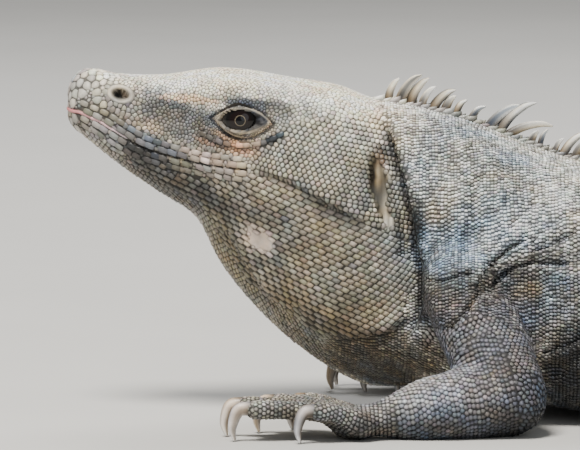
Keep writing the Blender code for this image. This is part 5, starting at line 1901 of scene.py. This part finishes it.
def floor_material():
    made, tree, shader = new_material("floor", 0.85, 0.2)
    tinted(tree, shader, noise(tree, 9.0), 0.94, 1.05, Color=(0.62, 0.61, 0.585, 1))
    return made


# ---------------------------------------------------------------- the scene
GAP_SHADE = 0.20  # how dark the skin is between the scales
FLESH = (
    "head", "lower_jaw", "throat_pouch", "neck", "trunk", "tail_base", "tail_middle", "tail_tip",
    *(f"{part}_{side}" for side in SIDES for part in (
        "upper_arm", "forearm", "hand", "thigh", "shin", "foot")),
)
eye_boxes = [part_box(f"eye_{side}") for side in SIDES]
eye_middles = [(low + high) / 2 for low, high in eye_boxes]
SCALE = (eye_middles[0] - eye_middles[1]).length / (2 * EYE_Y)  # metres of the frame per millimetre
SHIFT = (eye_middles[0] + eye_middles[1]) / 2 - Vector(place(EYE_S, 0, EYE_Z)) * SCALE
INTO_FRAME = Matrix.Translation(SHIFT) @ Matrix.Scale(SCALE / MM, 4)
# The view: what it is aimed at and from how far, its height in degrees, and the lens.
VIEW_TARGET, VIEW_DISTANCE, VIEW_RISE, VIEW_LENS = (62.2, 0.0, 52.5), 2000.0, 5.5, 443.0


def in_frame(point):
    return Vector(point) * SCALE + SHIFT


def aim(made, target):
    made.rotation_euler = (Vector(target) - made.location).to_track_quat("-Z", "Y").to_euler()


def add_camera():
    camera = bpy.data.objects.new("camera", bpy.data.cameras.new("camera"))
    bpy.context.scene.collection.objects.link(camera)
    rise = math.radians(VIEW_RISE)
    back = VIEW_DISTANCE * np.array((0, -math.cos(rise), math.sin(rise)))
    camera.location = in_frame(np.array(VIEW_TARGET) + back)
    aim(camera, in_frame(VIEW_TARGET))
    camera.data.sensor_width = 36
    camera.data.lens = VIEW_LENS
    camera.data.clip_end = 100
    bpy.context.scene.camera = camera


def add_light(name, spot, target, size, watts, colour):
    lamp = bpy.data.lights.new(name, "AREA")
    lamp.shape, lamp.size, lamp.energy, lamp.color = "DISK", size, watts, colour
    made = bpy.data.objects.new(name, lamp)
    bpy.context.scene.collection.objects.link(made)
    made.location = in_frame(spot)
    aim(made, in_frame(target))


def add_stage():
    work = bmesh.new()
    bmesh.ops.create_circle(work, cap_ends=True, segments=96, radius=30)
    mesh = bpy.data.meshes.new("floor")
    work.to_mesh(mesh)
    work.free()
    mesh.materials.append(floor_material())
    object_of("floor", mesh)
    world = bpy.data.worlds.new("studio")
    world.use_nodes = True
    sky = world.node_tree.nodes["Background"]
    sky.inputs["Color"].default_value = (0.80, 0.82, 0.84, 1)
    sky.inputs["Strength"].default_value = 0.34
    bpy.context.scene.world = world
    add_light("key", (-250, -700, 1500), (120, 0, 40), 0.6, 46, (1.0, 0.965, 0.90))
    add_light("fill", (500, -1600, 450), (120, 0, 40), 1.2, 5, (0.94, 0.97, 1.0))
    add_light("rim", (200, 1100, 1200), (120, 0, 40), 0.8, 14, (1.0, 1.0, 1.0))


def main():
    skin = make_skin()
    points = coordinates(skin.data)
    paint(skin.data, markings(points) * np.where(bare(points), 0.95, GAP_SHADE)[:, None])
    skin.data.materials.append(marked("skin", 0.62, 2600, 0.00012))
    scale = marked("scales", 0.42, 3800, 0.00006)
    horn = marked("horn", 0.38, 2200, 0.00005, 0.14)
    eye = eye_material()
    surface = Surface(skin.data)
    made = [skin, *make_coat(surface, scale), make_crest(horn), make_claws(horn)]
    made.append(make_lip_lining(surface, marked("lip_lining", 0.30, 2600, 0.00003, 0.10)))
    eyes = [make_eye(f"eyeball_{name}", side, eye) for name, side in SIDES.items()]
    for piece in (*made, *eyes):
        piece.data.transform(INTO_FRAME)
        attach(piece, "root")
    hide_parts(*FLESH)
    for piece, name in zip(eyes, SIDES, strict=True):
        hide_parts(f"eye_{name}")
    add_stage()
    add_camera()


main()
